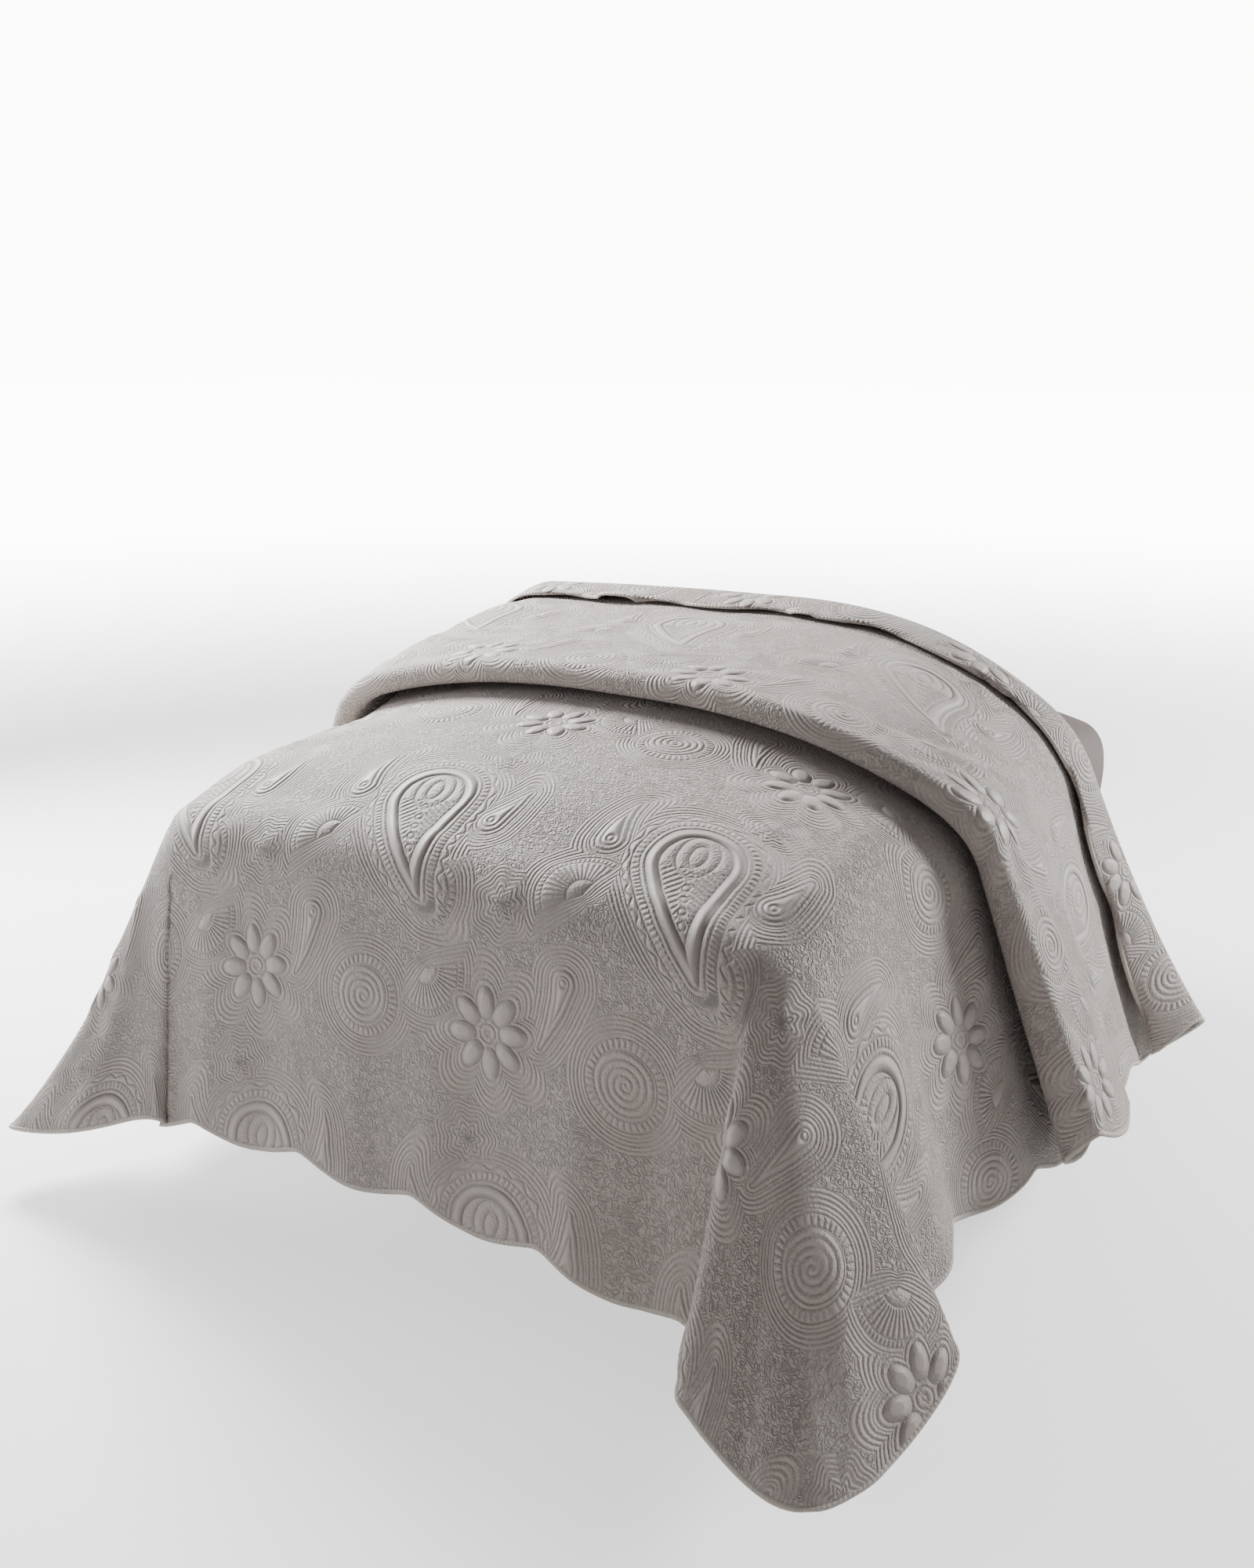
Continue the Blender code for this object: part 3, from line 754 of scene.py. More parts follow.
# %% [markdown]
# ### Shapes of the stitching
#
# Each shape gives a distance that is below nought inside its outline. That one number
# does a lot of work: nought is the outline itself, a fixed distance from it is a second
# line of stitching beside the first, and many at an even pitch are echo lines. A motif
# is placed by turning the cloth's place into the motif's own, measured from its middle
# in the nearest copy. Every other row is mirrored and moved half a repeat to the side.

# %% Motif places and shapes
REPEAT_WIDTH = 0.54
ROW_HEIGHT = 0.74
REPEAT_SHIFT = -0.08


def motif(u, v, right, up, turn_deg=0.0):
    """The place (u, v) on the cloth, seen from the middle of the nearest copy of a motif."""
    row = rule("FLOOR", (v - up) / ROW_HEIGHT + 0.5)
    odd = rule("FLOORED_MODULO", row, 2.0)
    flip = 1 - 2 * odd
    x = u - REPEAT_SHIFT - flip * right - odd * (REPEAT_WIDTH / 2)
    x = (rule("FLOORED_MODULO", x + REPEAT_WIDTH / 2, REPEAT_WIDTH) - REPEAT_WIDTH / 2) * flip
    y = v - up - row * ROW_HEIGHT
    cosine, sine = math.cos(math.radians(turn_deg)), math.sin(math.radians(turn_deg))
    return cosine * x + sine * y, cosine * y - sine * x


def drop(x, y, length, fat, thin, bend):
    """A bent drop, round at the origin, with its thin end at y = length.

    Gives the distance to its outline, the straightened place, and the length of outline.
    """
    x = x - bend * abs(y) * y
    lean = (fat - thin) / length
    side = abs(x)
    along = clamp(y - side * (lean / math.sqrt(1 - lean * lean)), 0.0, length)
    steep = rule("SQRT", 1 + (2 * bend) ** 2 * y * y)
    distance = (from_middle(x, y - along) - fat + lean * along) / steep
    outline = along + fat * rule("ARCTAN2", side, y - along)
    return distance, x, y, outline


def oval(x, y, half_width, half_length):
    return (from_middle(x / half_width, y / half_length) - 1) * half_width


def petals(x, y, count, middle, half_length, half_width):
    """The distance to the nearest of some petals that stand round the origin."""
    turn = 2 * math.pi / count
    angle = rule("FLOORED_MODULO", rule("ARCTAN2", y, x) + turn / 2, turn) - turn / 2
    away = from_middle(x, y)
    return oval(away * angle, away - middle, half_width, half_length)


# %% [markdown]
# ### The great drop
#
# This is the largest motif of the repeat: a padded band round a drop, an oval inside it,
# beads and veins down its middle, and a ribbed and a scalloped border. Each of these is
# one line below, cut from the same few measures of the drop. Drawing them as curves
# would take many points, and the curves would not fit each other as well.

# %% The great drop


def great_drop(u, v):
    """Lines, outer shape and padding of the great drop with its leaf and ribbed border."""
    x0, y0 = motif(u, v, 0.0, 0.0, 10)
    d, x, y, outline = drop(x0, 0.070 - y0, length=0.210, fat=0.083, thin=0.008, bend=1.3)
    half = abs(x)
    beads = most(abs(from_middle(x, to_lines(y - 0.004, 0.026)) - 0.0065), d + 0.028, 0.020 - y)
    veins = most(to_lines(y - 0.8 * half, 0.013), d + 0.024, 0.012 - half, 0.016 - y)
    ribs = most(to_lines(outline, 0.0095), 0.010 - d, d - 0.023)
    scallops = abs(d - 0.034 - 0.0045 * rule("SINE", outline * (2 * math.pi / 0.034)))
    eye = least(abs(oval(x, y + 0.014, 0.036, 0.046)), abs(oval(x, y + 0.014, 0.014, 0.024)))
    borders = least(abs(d), abs(d + 0.023), abs(d - 0.009), abs(d - 0.024))
    padding = most(-d * (d + 0.023) / 0.0115**2, 0.0)
    return least(borders, beads, veins, ribs, scallops, eye), d - 0.040, padding


# %% [markdown]
# ### The smaller motifs
#
# Coils, fans, a daisy, small drops and rosettes fill the cloth round the great drop. A
# table gives the places of each kind, in metres to the right of the repeat's middle and
# up from it, and one function for each kind gives its lines and its outer shape. The
# daisy and the small drops are padded, so they also give how far.

# %% Coils, fans, daisies, drops and rosettes
COIL_PITCH = 0.0125
FAN_HALF_ANGLE = 1.25
FAN_HEART = 0.028
FAN_RIBS_END = 0.072
FAN_RIM = 0.084

COILS = (
    {"right": 0.108, "up": -0.122, "spiral": 0.040, "rib": 0.013},
    {"right": -0.020, "up": -0.330, "spiral": 0.056, "rib": 0.018},
)
FANS = (
    {"right": -0.150, "up": -0.060, "turn_deg": 55},
    {"right": 0.110, "up": -0.250, "turn_deg": -140},
)
DROPS = (
    {"right": 0.165, "up": 0.085, "turn_deg": -30, "length": 0.085, "fat": 0.026, "bend": -3.0},
    {"right": -0.185, "up": 0.115, "turn_deg": 14, "length": 0.100, "fat": 0.026, "bend": 2.2},
    {"right": -0.155, "up": -0.255, "turn_deg": 175, "length": 0.120, "fat": 0.022, "bend": 1.6},
)
ROSETTES = ({"right": 0.255, "up": -0.110}, {"right": 0.050, "up": 0.215})


def coil(u, v, size):
    x, y = motif(u, v, size["right"], size["up"])
    away = from_middle(x, y)
    angle = rule("ARCTAN2", y, x)
    spiral, rim = size["spiral"], size["spiral"] + size["rib"]
    turns = most(to_lines(away - angle * (COIL_PITCH / (2 * math.pi)), COIL_PITCH), away - spiral)
    ribs = most(to_lines(angle * spiral * 1.2, 0.0112), spiral - away, away - rim)
    return least(turns, ribs, abs(away - spiral), abs(away - rim)), away - rim - 0.006


def fan(u, v, size):
    x, y = motif(u, v, size["right"], size["up"], size["turn_deg"])
    away = from_middle(x, y)
    angle = rule("ARCTAN2", x, y)
    edge = (abs(angle) - FAN_HALF_ANGLE) * away
    ribs = most(to_lines(angle * 0.075, 0.0115), 0.030 - away, away - FAN_RIBS_END)
    rim = most(to_lines(angle * 0.090, 0.009), FAN_RIBS_END - away, away - FAN_RIM)
    arcs = least(abs(away - FAN_HEART), abs(away - FAN_RIBS_END), abs(away - FAN_RIM))
    lines = least(most(least(ribs, rim, arcs), edge), most(abs(edge), away - FAN_RIM))
    return lines, most(away - 0.090, edge - 0.006)


def daisy(u, v):
    x, y = motif(u, v, 0.250, -0.330, 10)
    petal = petals(x, y, 8, middle=0.052, half_length=0.028, half_width=0.0185)
    away = from_middle(x, y)
    lines = least(abs(petal), abs(away - 0.016), most(abs(petal - 0.008), 0.022 - away))
    return lines, petal - 0.012, clamp(-petal / 0.010, 0.0, 1.0)


def small_drop(u, v, size):
    x0, y0 = motif(u, v, size["right"], size["up"], size["turn_deg"])
    d, x, y, _ = drop(x0, y0 + 0.05, size["length"], size["fat"], 0.004, size["bend"])
    lines = least(abs(d), abs(d + 0.010), abs(d - 0.008), abs(from_middle(x, y) - 0.006))
    return lines, d - 0.012, clamp(-d / 0.012, 0.0, 1.0)


def rosette(u, v, size):
    x, y = motif(u, v, size["right"], size["up"])
    lobed = from_middle(x, y) - 0.004 * rule("SINE", rule("ARCTAN2", y, x) * 7)
    return most(to_lines(lobed - 0.004, 0.010), lobed - 0.034), lobed - 0.036


# %% [markdown]
# ### The repeat
#
# Here the motifs are put together. Each one is drawn only outside the ones before it, as
# a quilter would stitch it: the great drop first, then the coils and the daisy, the
# small drops in the gaps, the fans and the rosettes. What is left takes echo lines, which
# follow the outline of whatever is nearest, and small ringed seeds further out.

# %% All of them together
ECHO_PITCH = 0.0075
ECHO_START = 0.002
ECHO_END = 0.031
SEED_START = 0.034
SEED_RADIUS = 0.0065
SEED_PITCH = (0.046, 0.052)


def quilting(u, v):
    """The distance to the nearest stitched line, the distance outside all the motifs,
    and the padding of the smooth parts, from 0 to 1."""
    lines, shape, padding = great_drop(u, v)
    others = [coil(u, v, size) for size in COILS] + [daisy(u, v)]
    others += [small_drop(u, v, size) for size in DROPS] + [fan(u, v, size) for size in FANS]
    others += [rosette(u, v, size) for size in ROSETTES]
    for new_lines, new_shape, *new_padding in others:
        for extra in new_padding:
            padding = most(padding, least(extra, most(shape * 200, 0.0)))
        lines = least(lines, most(new_lines, -shape))
        shape = least(shape, new_shape)
    seed = from_middle(
        to_lines(u + 0.35 * v, SEED_PITCH[0]), to_lines(v - 0.2 * u, SEED_PITCH[1])
    )
    seeds = most(abs(seed - SEED_RADIUS), SEED_START - shape)
    echoes = most(to_lines(shape, ECHO_PITCH), ECHO_START - shape, shape - ECHO_END)
    return least(lines, seeds, echoes), shape, padding


_, cloth_shape, _ = quilting(cloth_flat[..., 0], cloth_flat[..., 1])
print("share of the cloth inside a motif:", round(float((cloth_shape < 0).mean()), 2))

# %% [markdown]
# ## Finishes
#
# The cloth is a fine, slightly lustrous cotton in a warm taupe grey. What makes it read
# as quilted is relief: each stitched line pulls the two faces together, and the wadding
# pushes them apart in between, more so where the lines are far apart. The formulas give
# the distance to the nearest line, and a soft rise from that distance gives just this
# shape. Both faces of the cloth use it, so it is a node group, and so is the fine weave,
# which the sheet and the base use as well.

# %% Node groups
WANDER = 0.004
MEANDER_PITCH = 0.16
MEANDER_WIDTH = 0.040
MEANDER_START = 0.032
GROOVE_WIDTH = 0.0042
STITCH_HEIGHT = 0.72
PADDING_HEIGHT = 0.62
STIPPLE_HEIGHT = 0.45


def new_group(name, inputs, outputs):
    """A shader node group with number inputs (name: default) and number outputs."""
    tree = bpy.data.node_groups.new(name, "ShaderNodeTree")
    for label, default in inputs.items():
        kind = "NodeSocketVector" if default is None else "NodeSocketFloat"
        socket = tree.interface.new_socket(label, in_out="INPUT", socket_type=kind)
        if default is not None:
            socket.default_value = default
    for label in outputs:
        tree.interface.new_socket(label, in_out="OUTPUT", socket_type="NodeSocketFloat")
    return tree, tree.nodes.new("NodeGroupInput"), tree.nodes.new("NodeGroupOutput")


def noise(tree, vector, scale, detail=2.0, roughness=0.5):
    node = tree.nodes.new("ShaderNodeTexNoise")
    node.inputs["Scale"].default_value = scale
    node.inputs["Detail"].default_value = detail
    node.inputs["Roughness"].default_value = roughness
    tree.links.new(vector, node.inputs["Vector"])
    return Wire(node.outputs["Fac"])


def make_quilting_group():
    """Height of the stitched relief, 0 in a line and 1 on the padding, and its grooves."""
    tree, given, result = new_group(
        "quilting", {"Cloth": None, "Stipple": 1.0}, ("Height", "Groove", "Padding")
    )
    Wire.tree = tree
    split = tree.nodes.new("ShaderNodeSeparateXYZ")
    tree.links.new(given.outputs["Cloth"], split.inputs[0])
    u, v = Wire(split.outputs["X"]), Wire(split.outputs["Y"])
    wander = noise(tree, given.outputs["Cloth"], 26.0, 1.0)
    u = u + (wander - 0.5) * WANDER
    lines, shape, padding = quilting(u, v)
    meander = to_lines(noise(tree, given.outputs["Cloth"], 62.0, 1.0), MEANDER_PITCH) * MEANDER_WIDTH
    meander = most(meander, MEANDER_START - shape)
    lines = least(lines, meander)
    rise = 1 - rule("EXPONENT", lines * (-1 / GROOVE_WIDTH))
    stipple = noise(tree, given.outputs["Cloth"], 210.0, 1.0) - 0.5
    bare_stipple = stipple * STIPPLE_HEIGHT * (1 - padding) * Wire(given.outputs["Stipple"])
    height = rise * STITCH_HEIGHT + padding * PADDING_HEIGHT + bare_stipple
    for value, label in ((height, "Height"), (1 - rise, "Groove"), (padding, "Padding")):
        tree.links.new(value.output, result.inputs[label])
    return tree


def make_weave_group():
    """A plain weave: threads over and under, with a little unevenness."""
    tree, given, result = new_group("weave", {"Cloth": None, "Threads per metre": 1400.0}, ("Height", "Fade"))
    Wire.tree = tree
    split = tree.nodes.new("ShaderNodeSeparateXYZ")
    tree.links.new(given.outputs["Cloth"], split.inputs[0])
    pitch = Wire(given.outputs["Threads per metre"]) * math.pi
    across = rule("SINE", Wire(split.outputs["X"]) * pitch)
    along = rule("SINE", Wire(split.outputs["Y"]) * pitch)
    height = across * along * 0.5 + 0.5
    fade = noise(tree, given.outputs["Cloth"], 9.0, 3.0)
    tree.links.new(height.output, result.inputs["Height"])
    tree.links.new(fade.output, result.inputs["Fade"])
    return tree


quilting_group = make_quilting_group()
weave_group = make_weave_group()
print("nodes in the quilting group:", len(quilting_group.nodes))

# %% [markdown]
# ### Building a cloth material
#
# Each material joins the same few steps: read the place on the cloth, look up the relief
# and the weave there, darken the colour a little in the grooves as painted shade, the
# shade that falls in the stitched hollows, vary the tone at random with the weave, and
# hand the heights to Bump nodes. A satin-like cotton shines most on the padding, so its
# roughness falls there.

# %% Cloth materials


def add_group(tree, group, vector, **values):
    node = tree.nodes.new("ShaderNodeGroup")
    node.node_tree = group
    tree.links.new(vector, node.inputs["Cloth"])
    for label, value in values.items():
        node.inputs[label.replace("_", " ")].default_value = value
    return node


def mixed_colour(tree, low, high, factor):
    mix = tree.nodes.new("ShaderNodeMix")
    mix.data_type = "RGBA"
    mix.inputs["A"].default_value = (*low, 1)
    mix.inputs["B"].default_value = (*high, 1)
    tree.links.new(factor.output, mix.inputs["Factor"])
    return mix.outputs["Result"]


def add_bump(tree, height, distance, normal=None):
    bump = tree.nodes.new("ShaderNodeBump")
    bump.inputs["Distance"].default_value = distance
    tree.links.new(height.output, bump.inputs["Height"])
    if normal is not None:
        tree.links.new(normal, bump.inputs["Normal"])
    return bump.outputs["Normal"]


def cloth_material(name, light, dark, roughness, relief, stipple):
    material, shader = plain_material(name, light, roughness)
    tree = material.node_tree
    Wire.tree = tree
    place = tree.nodes.new("ShaderNodeUVMap")
    place.uv_map = "cloth"
    quilted = add_group(tree, quilting_group, place.outputs["UV"], Stipple=stipple)
    woven = add_group(tree, weave_group, place.outputs["UV"])
    groove, padding = Wire(quilted.outputs["Groove"]), Wire(quilted.outputs["Padding"])
    # Painted shade: the grooves darken the base colour, and the weave's fade varies the tone at random.
    groove_shade_and_tone = groove * 0.22 + (Wire(woven.outputs["Fade"]) - 0.5) * 0.3
    tree.links.new(mixed_colour(tree, light, dark, clamp(groove_shade_and_tone, 0.0, 1.0)), shader.inputs["Base Color"])
    gloss = roughness - padding * 0.10 + groove * 0.08
    tree.links.new(gloss.output, shader.inputs["Roughness"])
    normal = add_bump(tree, Wire(quilted.outputs["Height"]), relief)
    normal = add_bump(tree, Wire(woven.outputs["Height"]), 0.00010, normal)
    tree.links.new(normal, shader.inputs["Normal"])
    shader.inputs["Sheen Weight"].default_value = 0.25
    shader.inputs["Sheen Roughness"].default_value = 0.45
    return material


# The dark colours stand for painted shade in the grooves and for the dark end of the weave's random tone.
FACE_LIGHT = (0.43, 0.378, 0.352)
FACE_DARK = (0.27, 0.225, 0.20)
REVERSE_LIGHT = (0.44, 0.405, 0.372)
REVERSE_DARK = (0.31, 0.275, 0.245)
face_cloth = cloth_material("quilted cotton", FACE_LIGHT, FACE_DARK, 0.60, 0.0065, 1.0)
reverse_cloth = cloth_material("quilted cotton, reverse", REVERSE_LIGHT, REVERSE_DARK, 0.68, 0.0022, 3.2)

# %% [markdown]
# ## Padding and creases
#
# The wadding lifts each motif by a few millimetres, as in the solid, which a bump alone
# can't show at a fold's edge. And no cloth hangs in perfect planes: soft ridges run down
# to the hem, drag lines start where the folded end is pulled, and the hem waves a little.
# Each crease is placed as one row of a table: a line on the flat cloth, with a
# width and a height. Simulated wrinkles would be livelier, but they can't be placed.

# %% Padding and creases
MOTIF_RISE = 0.0035
MOTIF_EDGE = 0.030
CREASES = (
    {"place": "foot", "u0": -0.47, "v0": -0.14, "u1": -0.50, "v1": -0.74, "width": 0.05, "height": 0.007},
    {"place": "foot", "u0": -0.33, "v0": -0.22, "u1": -0.34, "v1": -0.74, "width": 0.045, "height": -0.005},
    {"place": "foot", "u0": -0.12, "v0": -0.30, "u1": -0.10, "v1": -0.74, "width": 0.05, "height": 0.005},
    {"place": "foot", "u0": 0.12, "v0": -0.20, "u1": 0.14, "v1": -0.74, "width": 0.04, "height": -0.004},
    {"place": "foot", "u0": 0.35, "v0": -0.16, "u1": 0.37, "v1": -0.74, "width": 0.045, "height": 0.007},
    {"place": "foot", "u0": 0.49, "v0": -0.12, "u1": 0.50, "v1": -0.74, "width": 0.035, "height": -0.006},
    {"place": "corner", "u0": 0.70, "v0": -0.16, "u1": 0.86, "v1": -0.66, "width": 0.024, "height": 0.006},
    {"place": "corner", "u0": 0.80, "v0": -0.25, "u1": 1.02, "v1": -0.60, "width": 0.03, "height": -0.006},
    {"place": "corner", "u0": 0.86, "v0": -0.20, "u1": 1.22, "v1": -0.46, "width": 0.028, "height": 0.007},
    {"place": "corner", "u0": -0.72, "v0": -0.16, "u1": -0.95, "v1": -0.64, "width": 0.03, "height": 0.006},
    {"place": "corner", "u0": -0.82, "v0": -0.20, "u1": -1.15, "v1": -0.50, "width": 0.03, "height": -0.006},
    {"place": "right", "u0": 0.66, "v0": 0.13, "u1": 1.34, "v1": 0.17, "width": 0.04, "height": 0.008},
    {"place": "right", "u0": 0.70, "v0": 0.26, "u1": 1.34, "v1": 0.30, "width": 0.035, "height": -0.006},
    {"place": "right", "u0": 0.72, "v0": 0.40, "u1": 1.34, "v1": 0.41, "width": 0.04, "height": 0.005},
    {"place": "left", "u0": -0.66, "v0": 0.20, "u1": -1.34, "v1": 0.24, "width": 0.05, "height": 0.009},
    {"place": "left", "u0": -0.68, "v0": 0.38, "u1": -1.34, "v1": 0.40, "width": 0.045, "height": -0.007},
    {"place": "top", "u0": 0.30, "v0": 0.42, "u1": 0.62, "v1": 0.10, "width": 0.03, "height": 0.003},
    {"place": "top", "u0": -0.20, "v0": 0.47, "u1": -0.60, "v1": 0.20, "width": 0.035, "height": 0.003},
    {"place": "band", "u0": 0.34, "v0": 1.10, "u1": 0.66, "v1": 1.26, "width": 0.016, "height": 0.004},
    {"place": "band", "u0": 0.42, "v0": 1.10, "u1": 0.70, "v1": 1.42, "width": 0.02, "height": -0.004},
    {"place": "band", "u0": 0.56, "v0": 1.10, "u1": 1.10, "v1": 1.22, "width": 0.018, "height": 0.005},
    {"place": "band", "u0": -0.30, "v0": 1.10, "u1": -0.62, "v1": 1.30, "width": 0.022, "height": 0.005},
    {"place": "band", "u0": -0.46, "v0": 1.10, "u1": -0.72, "v1": 1.24, "width": 0.016, "height": -0.004},
    {"place": "band", "u0": 0.00, "v0": 1.12, "u1": 0.30, "v1": 1.24, "width": 0.02, "height": 0.003},
    {"place": "band side", "u0": 0.70, "v0": 1.32, "u1": 1.44, "v1": 1.38, "width": 0.045, "height": 0.010},
    {"place": "band side", "u0": 0.74, "v0": 1.46, "u1": 1.44, "v1": 1.52, "width": 0.04, "height": -0.008},
    {"place": "band side", "u0": 0.72, "v0": 1.62, "u1": 1.44, "v1": 1.66, "width": 0.045, "height": 0.008},
    {"place": "band side", "u0": -0.70, "v0": 1.36, "u1": -1.44, "v1": 1.42, "width": 0.05, "height": 0.010},
    {"place": "band side", "u0": -0.74, "v0": 1.54, "u1": -1.44, "v1": 1.58, "width": 0.04, "height": -0.008},
    {"place": "cuff", "u0": -0.30, "v0": 1.97, "u1": -0.42, "v1": 1.97, "width": 0.026, "height": -0.012},
    {"place": "cuff", "u0": 0.05, "v0": 1.97, "u1": 0.12, "v1": 1.97, "width": 0.022, "height": -0.006},
    {"place": "cuff", "u0": 0.46, "v0": 1.97, "u1": 0.56, "v1": 1.97, "width": 0.024, "height": -0.007},
)
HEM_WAVE = 0.006
UNEVENNESS = 0.0016
FOLDED_WAVE_SHARE = 0.35


def smooth_steps(share):
    share = np.clip(share, 0, 1)
    return share * share * (3 - 2 * share)


def crease_height(u, v):
    """How far the creases push the cloth outwards, each fading out at both its ends."""
    height = np.zeros_like(u)
    for crease in CREASES:
        run = np.array([crease["u1"] - crease["u0"], crease["v1"] - crease["v0"]])
        length = np.linalg.norm(run)
        share = ((u - crease["u0"]) * run[0] + (v - crease["v0"]) * run[1]) / length**2
        aside = ((u - crease["u0"]) * run[1] - (v - crease["v0"]) * run[0]) / length
        ends = smooth_steps(share / 0.5) * smooth_steps((1.12 - share) / 0.12)
        height += crease["height"] * np.exp(-((aside / crease["width"]) ** 2)) * ends
    return height


def soft_waves(u, v):
    """The hem's slow waves, and a faint unevenness everywhere."""
    foot = np.clip(-v / FOOT_DROP, 0, 1)
    side = np.clip((abs(u) - TOP_HALF_WIDTH) / SIDES[0]["drop"], 0, 1)
    waves = foot**2 * np.sin(19 * u + 1.3 * np.sin(5.1 * u)) + side**2 * np.sin(17 * v + np.sin(4 * v))
    uneven = np.sin(13 * u + 3 * np.sin(4 * v)) * np.sin(11 * v + 2 * np.sin(6 * u))
    return HEM_WAVE * waves * (1 - 0.5 * np.minimum(foot, side)) + UNEVENNESS * uneven


def surface_normals(points):
    """The normal at each point of a grid, from its neighbours."""
    along = np.gradient(points, axis=0)
    across = np.gradient(points, axis=1)
    normal = np.cross(across, along)
    return normal / np.maximum(np.linalg.norm(normal, axis=2, keepdims=True), 1e-9)


u, v = cloth_flat[..., 0], cloth_flat[..., 1]
motif_rise = MOTIF_RISE * smooth_steps(-cloth_shape / MOTIF_EDGE) * cloth_bare
waves = soft_waves(u, v) * np.maximum(cloth_bare, FOLDED_WAVE_SHARE)
lift = motif_rise + crease_height(u, v) + waves
cloth_points = cloth_points + lift[..., None] * surface_normals(cloth_points)
print("the cloth is moved by", round(float(lift.min()), 4), "to", round(float(lift.max()), 4))

# %% [markdown]
# ## The cloth
#
# The grid starts as Blender's own grid primitive, and its points are moved to where the
# drape puts them. Each point also keeps its place on the flat cloth, in metres, in a UV
# map: the quilting follows that map over every fold. A Solidify modifier gives the cloth
# the thickness of its two layers and the wadding between them, with the reverse in a
# material of its own.

# %% Make the cloth
CLOTH_THICKNESS = 0.005


def grid_object(name, points, flat):
    """A grid primitive moved onto rows of points, with a UV map of the flat places."""
    bpy.ops.object.select_all(action="DESELECT")
    rows, across = points.shape[:2]
    bpy.ops.mesh.primitive_grid_add(x_subdivisions=across - 1, y_subdivisions=rows - 1)
    obj = bpy.context.object
    obj.name = name
    mesh = obj.data
    mesh.vertices.foreach_set("co", points.astype(np.float32).ravel())
    corner = np.empty(len(mesh.loops), np.int32)
    mesh.loops.foreach_get("vertex_index", corner)
    mesh.uv_layers[0].name = "cloth"
    mesh.uv_layers["cloth"].uv.foreach_set("vector", flat.reshape(-1, 2)[corner].astype(np.float32).ravel())
    mesh.shade_smooth()
    mesh.update()
    return obj


def finish_modifier(obj, modifier):
    bpy.ops.object.select_all(action="DESELECT")
    obj.select_set(True)
    bpy.context.view_layer.objects.active = obj
    bpy.ops.object.modifier_apply(modifier=modifier.name)


quilt = grid_object("quilted_cloth", cloth_points, cloth_flat)
thickness = quilt.modifiers.new("Thickness", "SOLIDIFY")
thickness.thickness = CLOTH_THICKNESS
thickness.offset = 0
thickness.material_offset = 1
thickness.material_offset_rim = 0
finish_modifier(quilt, thickness)
quilt.data.materials.append(face_cloth)
quilt.data.materials.append(reverse_cloth)
print("the cloth has", sum(len(f.vertices) - 2 for f in quilt.data.polygons), "triangles")

# %% [markdown]
# ## The binding
#
# A narrow bias strip is folded over the raw edge and sewn down. It could be cut from the
# cloth's own edge faces, but it is thicker than the cloth and slightly beiger, so it is
# its own piece: a flat oval section carried round the hem. It is made as a strip on the
# same kind of grid, and its long edges and its ends are merged afterwards. Bias cloth
# puckers along its seam, so a row of fine cross ripples goes into its bump.

# %% Make the binding
BINDING_HALF_WIDTH = 0.0055
BINDING_HALF_THICKNESS = 0.0040
BINDING_SIDES = 10


def hem_loop(points):
    """The sheet's edge, all the way round, each point with the one inside it."""
    edge = np.concatenate([points[0, :-1], points[:-1, -1], points[-1, :0:-1], points[:0:-1, 0]])
    inside = np.concatenate([points[1, :-1], points[:-1, -2], points[-2, :0:-1], points[:0:-1, 1]])
    return edge, inside


def binding_rings(points):
    """A ring of points round each place of the hem, and each one's place on the strip."""
    edge, inside = hem_loop(points)
    along = np.roll(edge, -1, axis=0) - np.roll(edge, 1, axis=0)
    along /= np.linalg.norm(along, axis=1, keepdims=True)
    normal = np.cross(inside - edge, along)
    normal /= np.linalg.norm(normal, axis=1, keepdims=True)
    outward = np.cross(normal, along)
    turns = np.arange(BINDING_SIDES + 1) * 2 * math.pi / BINDING_SIDES
    rings = (
        edge[:, None]
        + np.cos(turns)[None, :, None] * BINDING_HALF_WIDTH * outward[:, None]
        + np.sin(turns)[None, :, None] * BINDING_HALF_THICKNESS * normal[:, None]
    )
    rings = np.concatenate([rings, rings[:1]])
    steps = np.linalg.norm(np.diff(rings[:, 0], axis=0), axis=1)
    run = np.concatenate([[0], np.cumsum(steps)])
    places = np.stack(np.broadcast_arrays(run[:, None], turns * BINDING_HALF_WIDTH), axis=-1)
    return rings, places


def close_seams(obj):
    """Merges a grid's meeting edges and turns its faces outwards."""
    bpy.ops.object.select_all(action="DESELECT")
    obj.select_set(True)
    bpy.context.view_layer.objects.active = obj
    bpy.ops.object.mode_set(mode="EDIT")
    bpy.ops.mesh.select_all(action="SELECT")
    bpy.ops.mesh.remove_doubles(threshold=0.00005)
    bpy.ops.mesh.normals_make_consistent(inside=False)
    bpy.ops.object.mode_set(mode="OBJECT")


def binding_material():
    material, shader = plain_material("bias binding", (0.44, 0.395, 0.36), 0.66)
    tree = material.node_tree
    Wire.tree = tree
    place = tree.nodes.new("ShaderNodeUVMap")
    place.uv_map = "cloth"
    woven = add_group(tree, weave_group, place.outputs["UV"])
    split = tree.nodes.new("ShaderNodeSeparateXYZ")
    tree.links.new(place.outputs["UV"], split.inputs[0])
    wander = noise(tree, place.outputs["UV"], 40.0) * 6.0
    pucker = rule("SINE", Wire(split.outputs["X"]) * 700.0 + wander) * 0.5 + 0.5
    normal = add_bump(tree, pucker, 0.0006)
    tree.links.new(add_bump(tree, Wire(woven.outputs["Height"]), 0.0001, normal), shader.inputs["Normal"])
    tone = mixed_colour(tree, (0.54, 0.49, 0.445), (0.42, 0.375, 0.335), Wire(woven.outputs["Fade"]))
    tree.links.new(tone, shader.inputs["Base Color"])
    return material


binding = grid_object("bias_binding", *binding_rings(cloth_points))
close_seams(binding)
binding.data.materials.append(binding_material())
print("the binding has", len(binding.data.polygons), "faces")

